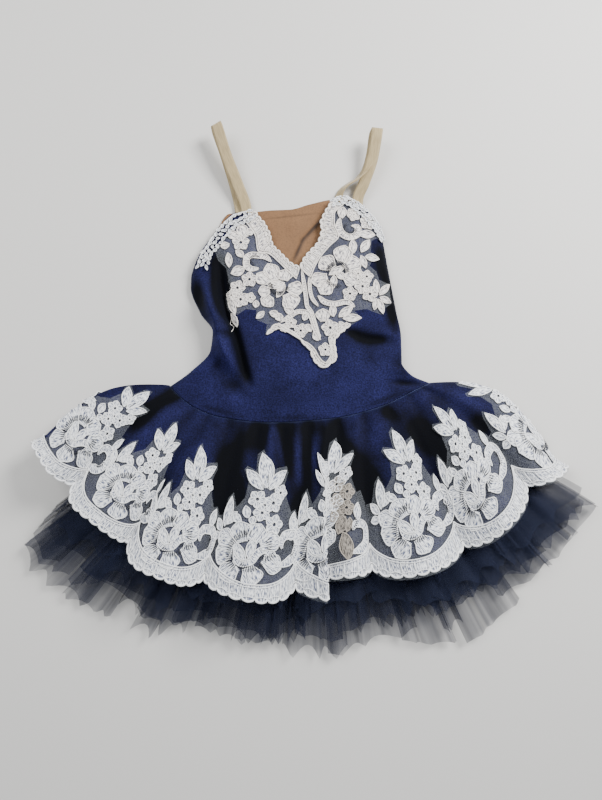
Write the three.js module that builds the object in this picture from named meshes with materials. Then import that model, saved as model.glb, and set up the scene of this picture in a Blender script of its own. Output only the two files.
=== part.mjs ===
// A small child's ballet tutu dress, laid flat on its back with its front up.
// Millimetres, +Z up. X runs across the dress and Y from its hem up to its straps.
// The origin is on the table, on the flat back of the bodice, a little above its waist seam.
import * as THREE from 'three';

// The tables below count Y from the middle of the waist seam.
const ORIGIN_ABOVE_SEAM = 30;

// Walls and gaps.
const CLOTH = 1.2; // velvet, power mesh and elastic
const NET = 1.0; // one sheet of tulle
const LACE_GROUND = 0.9; // the net that carries the lace
const LACE_RELIEF = 1.1; // flowers and leaves stand this far above their net
const SEAM_GAP = 0.3; // between two pieces at a seam
const LACE_GAP = 0.95; // between the bodice's lace and its velvet
const HEM_LACE_GAP = 1.3; // between the hem's lace and the fluted skirt

// Waist and skirt.
const SEAM_TOP = 10.7; // top of the cloth at the waist seam
const REPEATS = 8; // scallops of the lace across the front
const COLUMNS_PER_REPEAT = 6; // columns of the front skirt's wall in one scallop
const REPEAT_WIDTH = 96; // one scallop, measured along the hem
const SKIRT_LENGTH = 150; // waist seam to the notch between two scallops
const HEM_HEIGHT = 34; // mean height of the front hem over its stiff underskirt
const LOBE = 17; // how far a scallop hangs below its notches
const GATHERS = { count: 20, height: 1.4, start: 0.08, fade: 0.1, end: 0.3 }; // below the seam
const RISE_SHAPE = 0.55; // under 1: the skirt rises fastest just below its waist
const FLUTE_SHAPE = 1.1; // the flutes of the hem fade out towards the waist
const SIDE_ROUND = 0.45; // scallops over which a side fold rounds up to the skirt's full height
const SIDE_FOLD_WALLS = 3.4; // thickness of a side fold, in walls of cloth
const BACK_STEP = LACE_GROUND + 1.1; // the skirt's back lies this far above its own lace's base
const BACK_STEP_ROWS = { from: 0.02, to: 0.1 }; // and steps up to there just below the waist
const BACK_HEM_DOWN = 0.97; // where the cloth of the skirt's back ends
const BACK_BOW = 0.95; // its side folds bow a little less than the front's

// Underskirt: four sheets of tulle between the back and the front of the skirt.
const SHEET_STEP_WAIST = 1.5; // from one sheet to the next at the waist
const SHEET_STEP_HEM = 5.4; // and at the hem
const FIRST_SHEET_WAIST = 4.1; // height of the lowest sheet at the waist
const FIRST_SHEET_HEM = 6.4; // and where it lies on the back of the skirt
const FIRST_SHEET_EDGE = 2.9; // and at its outer edge, on the table
const WAIST_HALF = 103; // half the width of a sheet where it is sewn in
const SHEET_BELOW_SEAM = 2; // its upper edge, below the waist seam
const STRIPS = 17; // ragged strips along a sheet's edge
const RAGGED = 0.07; // how much shorter a strip may be than the longest
const SHEETS_SPREAD = 0.55; // share of the length over which the sheets spread apart
const SHEETS_SETTLE = 0.35; // and over which the lowest settles on the skirt's back
const SHEETS_DROP = { from: 0.82, closer: 0.8 }; // they drop to the table beyond the hem
const SHEET_WAVE = 0.4; // height of the waves, as a share of the room between two sheets

// Bodice.
const BODICE_HEIGHT = 12; // its soft middle
const BODICE_EDGE = 2.9; // its folded sides
const NECK_EDGE = 7; // its neck and armhole edges
const BODICE_SIDE_ROUND = 0.1; // share of its width over which a side fold rounds up
const WAIST_RISE = 0.25; // share of its length over which it rises from the seam
const NECK_FALL = 0.72; // and from which it falls to its neck edge
const BACK_INSET = 0.98; // its back is this much narrower than its front
const LACE_RIPPLE = 0.7; // half the height of the gathers in the armhole lace
const LACE_FROM_EDGE = 0.5; // between the armhole's edge and that lace

const VELVET = { color: 0x1b2c5c, roughness: 0.85, metalness: 0 };
const TULLE = { color: 0x1a2238, roughness: 0.9, metalness: 0 };
const LACE = { color: 0xe4e2dc, roughness: 0.75, metalness: 0 };
const NUDE = { color: 0xa8865f, roughness: 0.8, metalness: 0 };
const ELASTIC = { color: 0xbfaa87, roughness: 0.7, metalness: 0 };

// The waist seam and the notch line of the hem, at each scallop notch and middle.
// Repeat counts scallops from the left side fold, z is the height of the hem's top.
const WAIST = [
  { repeat: 0, x: -130, y: 37 },
  { repeat: 0.5, x: -124, y: 30 },
  { repeat: 1.5, x: -105, y: 15 },
  { repeat: 2.5, x: -78, y: 5 },
  { repeat: 3.5, x: -30, y: 0 },
  { repeat: 4.5, x: 30, y: 4 },
  { repeat: 5.5, x: 76, y: 15 },
  { repeat: 6.5, x: 110, y: 31 },
  { repeat: 8, x: 128, y: 40 },
];
const HEM = [
  { repeat: 0, x: -243, y: -16, z: 38 },
  { repeat: 0.5, x: -223, y: -36, z: 40 },
  { repeat: 1, x: -211, y: -60, z: 28 },
  { repeat: 1.5, x: -178, y: -80, z: 41 },
  { repeat: 2, x: -158, y: -110, z: 27 },
  { repeat: 2.5, x: -121, y: -127, z: 41 },
  { repeat: 3, x: -88, y: -143, z: 27 },
  { repeat: 3.5, x: -45, y: -145, z: 41 },
  { repeat: 4, x: -5, y: -151, z: 28 },
  { repeat: 4.3, x: 21, y: -145, z: 44 },
  { repeat: 4.5, x: 32, y: -131, z: 29 },
  { repeat: 4.75, x: 47, y: -129, z: 36 },
  { repeat: 5, x: 64, y: -134, z: 28 },
  { repeat: 5.5, x: 105, y: -122, z: 41 },
  { repeat: 6, x: 148, y: -114, z: 27 },
  { repeat: 6.5, x: 176, y: -84, z: 41 },
  { repeat: 7, x: 208, y: -60, z: 28 },
  { repeat: 7.5, x: 226, y: -45, z: 36 },
  { repeat: 8, x: 245, y: -35, z: 26 },
];
// The skirt's side folds bow outwards, and its two lower corners lift off the table.
const SIDE_FOLDS = [
  { bow: 17, x: -105, y: 18, outX: -0.6, outY: 0.8, lift: 20, reach: 55 },
  { bow: 26, x: 118, y: 30, outX: 0.53, outY: 0.85, lift: 6, reach: 42 },
];
const LIFT_SHAPE = 1.6; // over 1: a corner lifts slowly at first
const BOW = { width: 0.2, sideways: 0.3 }; // share of the skirt that bows out, and its slant
// The hem of the skirt's back, flat on the table.
const BACK_HEM = [
  { share: 0, x: -242, y: -17 },
  { share: 0.12, x: -207, y: -64 },
  { share: 0.26, x: -155, y: -108 },
  { share: 0.4, x: -75, y: -138 },
  { share: 0.5, x: 0, y: -144 },
  { share: 0.6, x: 75, y: -136 },
  { share: 0.74, x: 150, y: -108 },
  { share: 0.88, x: 205, y: -64 },
  { share: 1, x: 244, y: -36 },
];
// The longest outline of the tulle, share 0 at its left side.
const TULLE_EDGE = [
  { share: 0, x: -240, y: -84 },
  { share: 0.06, x: -262, y: -117 },
  { share: 0.13, x: -226, y: -150 },
  { share: 0.21, x: -172, y: -174 },
  { share: 0.28, x: -133, y: -194 },
  { share: 0.37, x: -80, y: -198 },
  { share: 0.47, x: -26, y: -211 },
  { share: 0.55, x: 17, y: -210 },
  { share: 0.63, x: 62, y: -203 },
  { share: 0.73, x: 125, y: -197 },
  { share: 0.82, x: 171, y: -180 },
  { share: 0.9, x: 217, y: -153 },
  { share: 0.95, x: 250, y: -122 },
  { share: 1, x: 288, y: -77 },
];
const TULLE_SHEETS = [
  { name: 'tulle_outer_back', level: 0, waves: 13, length: 0.93, phase: 0.1 },
  { name: 'tulle_inner_back', level: 1, waves: 15, length: 0.98, phase: 0.45 },
  { name: 'tulle_inner_front', level: 2, waves: 22, length: 1, phase: 0.3 },
  { name: 'tulle_outer_front', level: 3, waves: 25, length: 0.95, phase: 0.7 },
];

// The outline of the bodice: its side folds from the waist up, and its neck line.
const BODICE_LEFT = [
  { share: 0, x: -130, y: 37.3 },
  { share: 0.12, x: -110, y: 52 },
  { share: 0.28, x: -91, y: 73 },
  { share: 0.42, x: -89, y: 92 },
  { share: 0.6, x: -102, y: 112 },
  { share: 0.8, x: -113, y: 140 },
  { share: 0.9, x: -113, y: 151 },
  { share: 1, x: -105, y: 161 },
];
const BODICE_RIGHT = [
  { share: 0, x: 128, y: 40.3 },
  { share: 0.12, x: 110, y: 48 },
  { share: 0.22, x: 101, y: 60 },
  { share: 0.4, x: 101, y: 86 },
  { share: 0.6, x: 97, y: 112 },
  { share: 0.8, x: 91, y: 150 },
  { share: 1, x: 85, y: 191 },
];
const NECK_LINE = [
  { share: 0, x: -105, y: 161 },
  { share: 0.08, x: -96, y: 187 },
  { share: 0.15, x: -83, y: 206 },
  { share: 0.22, x: -67, y: 220 },
  { share: 0.27, x: -50, y: 222 },
  { share: 0.34, x: -40, y: 205 },
  { share: 0.39, x: -34, y: 188 },
  { share: 0.45, x: -20, y: 179 },
  { share: 0.5, x: -1, y: 165 },
  { share: 0.56, x: 9, y: 177 },
  { share: 0.62, x: 20, y: 187 },
  { share: 0.67, x: 25, y: 203 },
  { share: 0.72, x: 31, y: 222 },
  { share: 0.78, x: 45, y: 236 },
  { share: 0.85, x: 62, y: 229 },
  { share: 0.92, x: 77, y: 213 },
  { share: 1, x: 85, y: 191 },
];
// The deep crease down the left of the bodice, and the puffed side rolled up beside it.
const CREASE_LINE = [
  { y: 28, x: -50 },
  { y: 57, x: -60 },
  { y: 94, x: -74 },
  { y: 110, x: -82 },
  { y: 150, x: -85 },
  { y: 180, x: -89 },
];
const CREASE = { width: 4, depth: 6.5, low: 28, high: 172, rise: 25, fall: 30 };
const ROLL = { beside: 15, width: 9, height: 11, low: 45, high: 150, rise: 25, fall: 40 };

// Straps: one loop each, from inside the front's top corner over a fold to the back's edge.
const STRAP_WIDTH = 12;
const STRAP_LEFT = [
  { x: -56.5, y: 214, z: 2.4, twist: 0 },
  { x: -57.5, y: 226, z: 4.6, twist: 0 },
  { x: -66, y: 250, z: 10, twist: 0 },
  { x: -78, y: 280, z: 16, twist: 5 },
  { x: -88, y: 306, z: 20, twist: 12 },
  { x: -89.8, y: 309.5, z: 18.6, twist: 12 },
  { x: -89, y: 306, z: 16.8, twist: 12 },
  { x: -81, y: 280, z: 11, twist: 4 },
  { x: -74.5, y: 250, z: 4.6, twist: 0 },
  { x: -70.5, y: 232, z: 2.4, twist: 0 },
  { x: -69.2, y: 218, z: 2.2, twist: 0 },
];
const STRAP_RIGHT = [
  { x: 58.5, y: 222, z: 2.4, twist: 0 },
  { x: 59.5, y: 236, z: 5, twist: 0 },
  { x: 66, y: 252, z: 9.5, twist: 0 },
  { x: 74.5, y: 276, z: 15, twist: 0 },
  { x: 79, y: 301, z: 20, twist: 0 },
  { x: 79.4, y: 304.5, z: 18.4, twist: 0 },
  { x: 78, y: 301, z: 16.6, twist: 0 },
  { x: 70.5, y: 280, z: 12.5, twist: -20 },
  { x: 62, y: 262, z: 9, twist: -55 },
  { x: 51, y: 252, z: 7.6, twist: -65 },
  { x: 42, y: 246, z: 5.2, twist: -35 },
  { x: 36, y: 239, z: 2.8, twist: 0 },
  { x: 31, y: 232, z: 2.2, twist: 0 },
];

// The outlines of the two lace appliques on the bodice. They meet along the middle.
const APPLIQUE_MIDDLE = [
  { x: -1, y: 163 },
  { x: 1, y: 140 },
  { x: 6, y: 112 },
  { x: 14, y: 84 },
  { x: 22, y: 56 },
];
const APPLIQUE_LEFT = [
  { x: 11, y: 65 },
  { x: 5, y: 75 },
  { x: -14, y: 86 },
  { x: -33, y: 87 },
  { x: -37, y: 96 },
  { x: -52, y: 113 },
  { x: -60, y: 111 },
  { x: -70, y: 112 },
  { x: -75, y: 127 },
  { x: -68, y: 141 },
  { x: -73, y: 156 },
  { x: -64, y: 172 },
  { x: -70, y: 186 },
  { x: -58, y: 196 },
  { x: -63, y: 213 },
  { x: -51, y: 218 },
  { x: -42, y: 204 },
  { x: -35, y: 187 },
  { x: -21, y: 177 },
];
const APPLIQUE_RIGHT = [
  { x: 35, y: 64 },
  { x: 33, y: 79 },
  { x: 43, y: 89 },
  { x: 59, y: 104 },
  { x: 53, y: 112 },
  { x: 64, y: 115 },
  { x: 80, y: 109 },
  { x: 87, y: 122 },
  { x: 86, y: 140 },
  { x: 74, y: 152 },
  { x: 77, y: 168 },
  { x: 67, y: 183 },
  { x: 76, y: 196 },
  { x: 66, y: 212 },
  { x: 58, y: 226 },
  { x: 46, y: 232 },
  { x: 34, y: 221 },
  { x: 27, y: 203 },
  { x: 21, y: 185 },
  { x: 10, y: 175 },
];
// Flowers and leaves on the appliques: radius is a flower's or half a leaf's length.
const APPLIQUE_MOTIFS = [
  { side: 'left', kind: 'flower', x: -21, y: 134, radius: 19, turn: 10 },
  { side: 'left', kind: 'flower', x: -55, y: 128, radius: 10, turn: 50 },
  { side: 'left', kind: 'flower', x: -53, y: 153, radius: 10, turn: 20 },
  { side: 'left', kind: 'scroll', x: -47, y: 176, radius: 10, turn: -60 },
  { side: 'left', kind: 'flower', x: -52, y: 203, radius: 8, turn: 0 },
  { side: 'left', kind: 'leaf', x: -26, y: 162, radius: 9, turn: 40 },
  { side: 'left', kind: 'leaf', x: -28, y: 105, radius: 11, turn: 20 },
  { side: 'left', kind: 'leaf', x: -17, y: 95, radius: 10, turn: 165 },
  { side: 'left', kind: 'leaf', x: 0, y: 92, radius: 11, turn: 120 },
  { side: 'right', kind: 'flower', x: 33, y: 147, radius: 19, turn: 50 },
  { side: 'right', kind: 'flower', x: 72, y: 124, radius: 10, turn: 0 },
  { side: 'right', kind: 'flower', x: 63, y: 158, radius: 9, turn: 30 },
  { side: 'right', kind: 'scroll', x: 46, y: 202, radius: 12, turn: 150 },
  { side: 'right', kind: 'flower', x: 47, y: 222, radius: 6, turn: 10 },
  { side: 'right', kind: 'leaf', x: 40, y: 178, radius: 9, turn: 70 },
  { side: 'right', kind: 'leaf', x: 55, y: 129, radius: 9, turn: 160 },
  { side: 'right', kind: 'leaf', x: 42, y: 107, radius: 12, turn: 35 },
  { side: 'right', kind: 'leaf', x: 26, y: 100, radius: 14, turn: 95 },
  { side: 'right', kind: 'leaf', x: 24, y: 72, radius: 9, turn: 85 },
];

// One scallop of the hem lace. Across runs along the hem from the scallop's middle, up from the
// notch line. The spike's outline goes from its left valley over its tip to its right valley.
const SPIKE = [
  { across: -48, up: 46 },
  { across: -41, up: 64 },
  { across: -30, up: 84 },
  { across: -20, up: 74 },
  { across: -14, up: 86 },
  { across: -9, up: 108 },
  { across: 0, up: 106 },
  { across: 8, up: 130 },
  { across: 17, up: 110 },
  { across: 30, up: 106 },
  { across: 26, up: 90 },
  { across: 36, up: 76 },
];
const HEM_MOTIFS = [
  { kind: 'flower', across: -9, up: 31, radius: 19, turn: 18 },
  { kind: 'scroll', across: 27, up: 38, radius: 12, turn: -70 },
  { kind: 'leaf', across: -36, up: 46, radius: 11, turn: 80 },
  { kind: 'leaf', across: -26, up: 66, radius: 11, turn: 105 },
  { kind: 'flower', across: 6, up: 63, radius: 9, turn: 0 },
  { kind: 'leaf', across: -6, up: 88, radius: 12, turn: 105 },
  { kind: 'leaf', across: 8, up: 108, radius: 14, turn: 84 },
  { kind: 'leaf', across: 20, up: 93, radius: 11, turn: 55 },
];
const PETALS = 5;
const SCROLL = { steps: 4, sweep: 230, inner: 0.58 }; // an open ring, its sweep in degrees
const SMALL_FLOWER = 12; // radius up to which a petal is a single point
const NOTCH_UP = 3; // a notch lies this far above the notch line
const LOBE_SHAPE = { flat: 2.4, full: 0.7 }; // a scallop's edge between a circle and a box
const SPIKE_NARROWS = 0.45; // width of the skirt at the waist, as a share of that at the hem
const BAND_WIDTH = 13; // the raised band along a scallop's edge
const BAND_INSET = 2; // and its distance from that edge
const EDGE_STEPS = 6; // straight steps along one scallop's edge

// The seam between the bodice's back and its mesh yoke, and the yoke's other edges.
const YOKE_SEAM = { left: { x: -106, y: 147 }, right: { x: 88, y: 147 }, dip: 14 };
const YOKE_EDGE = [
  { x: 82, y: 192 },
  { x: 70, y: 214 },
  { x: 48, y: 237 },
  { x: 34, y: 237 },
  { x: 10, y: 232 },
  { x: -11, y: 226 },
  { x: -32, y: 225 },
  { x: -50, y: 223 },
  { x: -76, y: 221 },
  { x: -93, y: 188 },
  { x: -104, y: 160 },
];

const { clamp, lerp, smoothstep, degToRad } = THREE.MathUtils;

// Reads a named column of a table smoothly at any value of its key column, with no overshoot.
function read(rows, key, name, at) {
  const slopeAfter = (i) => (rows[i + 1][name] - rows[i][name]) / (rows[i + 1][key] - rows[i][key]);
  const tangent = (i) => {
    if (i === 0) return slopeAfter(0);
    if (i === rows.length - 1) return slopeAfter(i - 1);
    const before = slopeAfter(i - 1);
    const after = slopeAfter(i);
    return before * after <= 0 ? 0 : (2 * before * after) / (before + after);
  };
  let i = 0;
  while (i < rows.length - 2 && at > rows[i + 1][key]) i += 1;
  const span = rows[i + 1][key] - rows[i][key];
  const f = clamp((at - rows[i][key]) / span, 0, 1);
  const [f2, f3] = [f * f, f * f * f];
  return (2 * f3 - 3 * f2 + 1) * rows[i][name]
    + (f3 - 2 * f2 + f) * span * tangent(i)
    + (3 * f2 - 2 * f3) * rows[i + 1][name]
    + (f3 - f2) * span * tangent(i + 1);
}

// A repeatable number from 0 to 1 for each pair of whole numbers.
function chance(a, b) {
  const wave = Math.sin(a * 12.9898 + b * 78.233) * 43758.5453;
  return wave - Math.floor(wave);
}

// A named mesh from a list of triangles, each of three Vector3.
function meshOf(name, triangles, look) {
  const geometry = new THREE.BufferGeometry().setFromPoints(triangles.flat());
  geometry.computeVertexNormals();
  const mesh = new THREE.Mesh(geometry, new THREE.MeshStandardMaterial(look));
  mesh.name = name;
  return mesh;
}

// The height that a wall of even thickness takes up at each point of a grid of its top points.
function wallHeights(grid, thickness) {
  const tangent = (a, b) => new THREE.Vector3().subVectors(b, a);
  return grid.map((column, i) => column.map((point, j) => {
    const before = grid[Math.max(i - 1, 0)][j];
    const after = grid[Math.min(i + 1, grid.length - 1)][j];
    const across = tangent(before, after);
    const along = tangent(column[Math.max(j - 1, 0)], column[Math.min(j + 1, column.length - 1)]);
    const normal = across.cross(along).normalize();
    return thickness / clamp(Math.abs(normal.z), 0.6, 1);
  }));
}

// A closed wall whose top follows a grid of points, column by column.
function wallFromGrid(name, grid, thickness, look) {
  const heights = wallHeights(grid, thickness);
  const under = grid.map((column, i) => column.map((point, j) => (
    new THREE.Vector3(point.x, point.y, Math.max(0, point.z - heights[i][j])))));
  const triangles = [];
  const quad = (a, b, c, d) => triangles.push([a, b, c], [a, c, d]);
  const lastColumn = grid.length - 1;
  const lastRow = grid[0].length - 1;
  for (let i = 0; i < lastColumn; i += 1) {
    for (let j = 0; j < lastRow; j += 1) {
      quad(grid[i][j], grid[i][j + 1], grid[i + 1][j + 1], grid[i + 1][j]);
      quad(under[i][j], under[i + 1][j], under[i + 1][j + 1], under[i][j + 1]);
    }
    quad(grid[i][0], grid[i + 1][0], under[i + 1][0], under[i][0]);
    quad(grid[i + 1][lastRow], grid[i][lastRow], under[i][lastRow], under[i + 1][lastRow]);
  }
  for (let j = 0; j < lastRow; j += 1) {
    quad(grid[0][j + 1], grid[0][j], under[0][j], under[0][j + 1]);
    const [top, low] = [grid[lastColumn], under[lastColumn]];
    quad(top[j], top[j + 1], low[j + 1], low[j]);
  }
  return faceOut(name, triangles, look);
}

// Turns a closed body's faces out where its volume comes out negative.
function faceOut(name, triangles, look) {
  const volumeOf = ([a, b, c]) => a.dot(new THREE.Vector3().crossVectors(b, c));
  const volume = triangles.reduce((sum, triangle) => sum + volumeOf(triangle), 0);
  const turned = volume < 0 ? triangles.map(([a, b, c]) => [a, c, b]) : triangles;
  return meshOf(name, turned, look);
}

// Splits flat triangles along the line where one coordinate has a value.
function splitAt(triangles, axis, value) {
  const snap = 1e-6;
  const out = [];
  for (const triangle of triangles) {
    const side = triangle.map((p) => (Math.abs(p[axis] - value) < snap ? 0 : Math.sign(p[axis] - value)));
    if (!(side.includes(1) && side.includes(-1))) {
      out.push(triangle);
      continue;
    }
    const crossing = (p, q) => {
      const [low, high] = p[axis] < q[axis] ? [p, q] : [q, p];
      const point = low.clone().lerp(high, (value - low[axis]) / (high[axis] - low[axis]));
      point[axis] = value;
      return point;
    };
    const onLine = side.indexOf(0);
    if (onLine >= 0) {
      const [a, b, c] = [0, 1, 2].map((k) => triangle[(onLine + k) % 3]);
      const middle = crossing(b, c);
      out.push([a, b, middle], [a, middle, c]);
      continue;
    }
    const lone = side.findIndex((s) => side.filter((other) => other === s).length === 1);
    const [a, b, c] = [0, 1, 2].map((k) => triangle[(lone + k) % 3]);
    const [ab, ac] = [crossing(a, b), crossing(a, c)];
    out.push([a, ab, ac], [ab, b, c], [ab, c, ac]);
  }
  return out;
}

const flatLabel = (p) => `${p.x.toFixed(4)},${p.y.toFixed(4)}`;

// Turns the shared edge of two flat triangles where that makes both less thin.
function evenTriangles(triangles) {
  const area = (p, q, r) => (q.x - p.x) * (r.y - p.y) - (r.x - p.x) * (q.y - p.y);
  const angleAt = (p, q, r) => {
    const [u, v] = [q.clone().sub(p), r.clone().sub(p)];
    return Math.acos(clamp(u.dot(v) / (u.length() * v.length()), -1, 1));
  };
  for (let turned = true, pass = 0; turned && pass < 20; pass += 1) {
    turned = false;
    const owners = new Map();
    const changed = new Set();
    triangles.forEach((triangle, index) => triangle.forEach((p, k) => {
      const label = `${flatLabel(p)} ${flatLabel(triangle[(k + 1) % 3])}`;
      owners.set(label, { index, opposite: triangle[(k + 2) % 3] });
    }));
    triangles.forEach((triangle, index) => {
      for (let k = 0; k < 3; k += 1) {
        const [p, q, r] = [0, 1, 2].map((n) => triangle[(k + n) % 3]);
        const other = owners.get(`${flatLabel(q)} ${flatLabel(p)}`);
        if (!other || changed.has(index) || changed.has(other.index)) continue;
        const far = other.opposite;
        const flat = 1e-3;
        if (area(r, p, far) < flat || area(r, far, q) < flat) continue;
        if (angleAt(r, p, q) + angleAt(far, p, q) < Math.PI + flat) continue;
        triangles[index] = [r, p, far];
        triangles[other.index] = [r, far, q];
        changed.add(index).add(other.index);
        turned = true;
      }
    });
  }
  return triangles;
}

// The flat triangles inside an outline and outside its holes.
function flatTriangles(outline, holes, cuts) {
  const turnedRight = THREE.ShapeUtils.isClockWise(outline) ? [...outline].reverse() : outline;
  const turnedHoles = holes.map((hole) => (
    THREE.ShapeUtils.isClockWise(hole) ? hole : [...hole].reverse()));
  const points = [...turnedRight, ...turnedHoles.flat()];
  let triangles = evenTriangles(THREE.ShapeUtils.triangulateShape(turnedRight, turnedHoles)
    .map((face) => face.map((index) => points[index])));
  for (const { axis, value } of cuts) triangles = splitAt(triangles, axis, value);
  return triangles;
}

// The edges of flat triangles that no other of them shares.
function openEdges(triangles) {
  const edges = new Map();
  for (const triangle of triangles) {
    triangle.forEach((p, k) => {
      const q = triangle[(k + 1) % 3];
      const shared = edges.delete(`${flatLabel(q)} ${flatLabel(p)}`);
      if (!shared) edges.set(`${flatLabel(p)} ${flatLabel(q)}`, [p, q]);
    });
  }
  return [...edges.values()];
}

// A plate of lace, made of cells that share their side edges. A cell's ground and the raised
// shapes on it are flat outlines, and lay() puts a flat point and a lift above the cloth into
// place. The plate's inside is plain.
function lacePlate(name, cells, cuts, lay, gap) {
  const ground = cells.flatMap(({ outline, raised }) => flatTriangles(outline, raised, cuts));
  const tops = cells.flatMap(({ raised }) => raised.flatMap((shape) => flatTriangles(shape, [], cuts)));
  const base = cells.flatMap(({ outline }) => flatTriangles(outline, [], cuts));
  const levels = { under: gap, ground: gap + LACE_GROUND, top: gap + LACE_GROUND + LACE_RELIEF };
  const at = (level) => (point) => lay(point, levels[level]);
  const triangles = [
    ...ground.map((t) => t.map(at('ground'))),
    ...tops.map((t) => t.map(at('top'))),
    ...base.map(([a, b, c]) => [a, c, b].map(at('under'))),
  ];
  const walls = (edges, high, low) => {
    for (const [p, q] of edges) {
      const [ph, qh, pl, ql] = [at(high)(p), at(high)(q), at(low)(p), at(low)(q)];
      triangles.push([ph, pl, ql], [ph, ql, qh]);
    }
  };
  walls(openEdges(tops), 'top', 'ground');
  walls(openEdges(base), 'ground', 'under');
  return faceOut(name, triangles, LACE);
}

// A flat plate of cloth that lies on the table.
function clothPlate(name, outline, height, look) {
  const top = flatTriangles(outline, [], []);
  const at = (z) => (p) => new THREE.Vector3(p.x, p.y, z);
  const triangles = [...top.map((t) => t.map(at(height))), ...top.map(([a, b, c]) => [a, c, b].map(at(0)))];
  for (const [p, q] of openEdges(top)) {
    const [ph, qh, pl, ql] = [at(height)(p), at(height)(q), at(0)(p), at(0)(q)];
    triangles.push([ph, pl, ql], [ph, ql, qh]);
  }
  return faceOut(name, triangles, look);
}

// Outlines of the motifs, round a centre.
function flowerOutline({ x, y, radius, turn }) {
  const big = [[-0.5, 0.46], [-0.24, 0.95], [0.24, 0.95]];
  const small = [[-0.5, 0.5], [0, 1]];
  const points = [];
  for (let petal = 0; petal < PETALS; petal += 1) {
    for (const [offset, reach] of radius > SMALL_FLOWER ? big : small) {
      const angle = degToRad(turn) + ((petal + offset) / PETALS) * 2 * Math.PI;
      const out = new THREE.Vector2(Math.cos(angle), Math.sin(angle)).multiplyScalar(radius * reach);
      points.push(out.add(new THREE.Vector2(x, y)));
    }
  }
  return points;
}

function leafOutline({ x, y, radius, turn }) {
  const parts = [[-1, 0], [0, -0.34], [1, 0], [0.1, 0.34]];
  return parts.map(([along, across]) => new THREE.Vector2(along * radius, across * radius)
    .rotateAround(new THREE.Vector2(), degToRad(turn)).add(new THREE.Vector2(x, y)));
}

function scrollOutline({ x, y, radius, turn }) {
  const { steps, sweep, inner } = SCROLL;
  const ring = (reach) => Array.from({ length: steps + 1 }, (_, k) => {
    const angle = degToRad(turn + (k / steps) * sweep);
    const out = new THREE.Vector2(Math.cos(angle), Math.sin(angle)).multiplyScalar(radius * reach);
    return out.add(new THREE.Vector2(x, y));
  });
  return [...ring(1), ...ring(inner).reverse()];
}

const MOTIFS = { flower: flowerOutline, leaf: leafOutline, scroll: scrollOutline };

// Skirt front.
const placeIn = (rows, key, at) => new THREE.Vector2(read(rows, key, 'x', at), read(rows, key, 'y', at));
const seamPoint = (repeat) => placeIn(WAIST, 'repeat', repeat);

// How far the skirt's lower corners lift off the table at a place.
function cornerLift(x, y) {
  return SIDE_FOLDS.reduce((most, fold) => {
    const out = (x - fold.x) * fold.outX + (y - fold.y) * fold.outY;
    return Math.max(most, fold.lift * clamp(out / fold.reach, 0, 1) ** LIFT_SHAPE);
  }, 0);
}

// The outward bow of the side folds, at a share of the skirt's width and of its length.
function sideBow(share, down) {
  const [left, right] = SIDE_FOLDS;
  const near = (distance) => Math.max(0, 1 - distance / BOW.width) ** 2;
  const hump = Math.sin(Math.PI * clamp(down, 0, 1));
  const [l, r] = [left.bow * near(share) * hump, right.bow * near(1 - share) * hump];
  return new THREE.Vector2(BOW.sideways * (r - l), l + r);
}

function skirtFrontPoint(repeat, down) {
  const hem = placeIn(HEM, 'repeat', repeat);
  const plan = seamPoint(repeat).lerp(hem, down).add(sideBow(repeat / REPEATS, down));
  plan.y -= SEAM_GAP;
  const flute = read(HEM, 'repeat', 'z', repeat) - HEM_HEIGHT;
  const gather = GATHERS.height * Math.sin((repeat / REPEATS) * GATHERS.count * 2 * Math.PI)
    * smoothstep(down, 0, GATHERS.start) * (1 - smoothstep(down, GATHERS.fade, GATHERS.end));
  const full = SEAM_TOP + (HEM_HEIGHT - SEAM_TOP) * Math.max(down, 0) ** RISE_SHAPE
    + flute * Math.max(down, 0) ** FLUTE_SHAPE + gather;
  const folded = cornerLift(plan.x, plan.y) + BACK_STEP + SIDE_FOLD_WALLS * CLOTH;
  const fromSide = Math.min(repeat, REPEATS - repeat);
  const roundness = Math.sqrt(clamp(fromSide / SIDE_ROUND, 0, 1));
  return new THREE.Vector3(plan.x, plan.y, lerp(Math.min(folded, full), full, roundness));
}

const SKIRT_ROWS = [0, 0.05, 0.12, 0.22, 0.36, 0.54, 0.76, 1];
const FRONT_COLUMNS = REPEATS * COLUMNS_PER_REPEAT;

// The front lace's points are read between the columns of the skirt's own wall.
function onSkirtFront(repeat, down) {
  const column = clamp(repeat * COLUMNS_PER_REPEAT, 0, FRONT_COLUMNS);
  const left = Math.min(Math.floor(column), FRONT_COLUMNS - 1);
  const at = (index) => skirtFrontPoint(index / COLUMNS_PER_REPEAT, down);
  return at(left).lerp(at(left + 1), column - left);
}

function skirtFront() {
  const grid = Array.from({ length: FRONT_COLUMNS + 1 }, (_, i) => (
    SKIRT_ROWS.map((down) => skirtFrontPoint(i / COLUMNS_PER_REPEAT, down))));
  return wallFromGrid('skirt_front', grid, CLOTH, VELVET);
}

// Skirt back: flat on the table at the waist, and one lace higher from there down.
function skirtBackPoint(share, down) {
  const hem = placeIn(BACK_HEM, 'share', share);
  const plan = seamPoint(share * REPEATS).lerp(hem, down);
  plan.add(sideBow(share, down).multiplyScalar(BACK_BOW));
  plan.y -= SEAM_GAP;
  const step = BACK_STEP * smoothstep(down, BACK_STEP_ROWS.from, BACK_STEP_ROWS.to);
  return new THREE.Vector3(plan.x, plan.y, CLOTH + step + cornerLift(plan.x, plan.y));
}

function skirtBack() {
  const columns = 24;
  const rows = [0, BACK_STEP_ROWS.from, BACK_STEP_ROWS.to, 0.4, 0.7, BACK_HEM_DOWN];
  const grid = Array.from({ length: columns + 1 }, (_, i) => (
    rows.map((down) => skirtBackPoint(i / columns, down))));
  return wallFromGrid('skirt_back', grid, CLOTH, VELVET);
}

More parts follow.
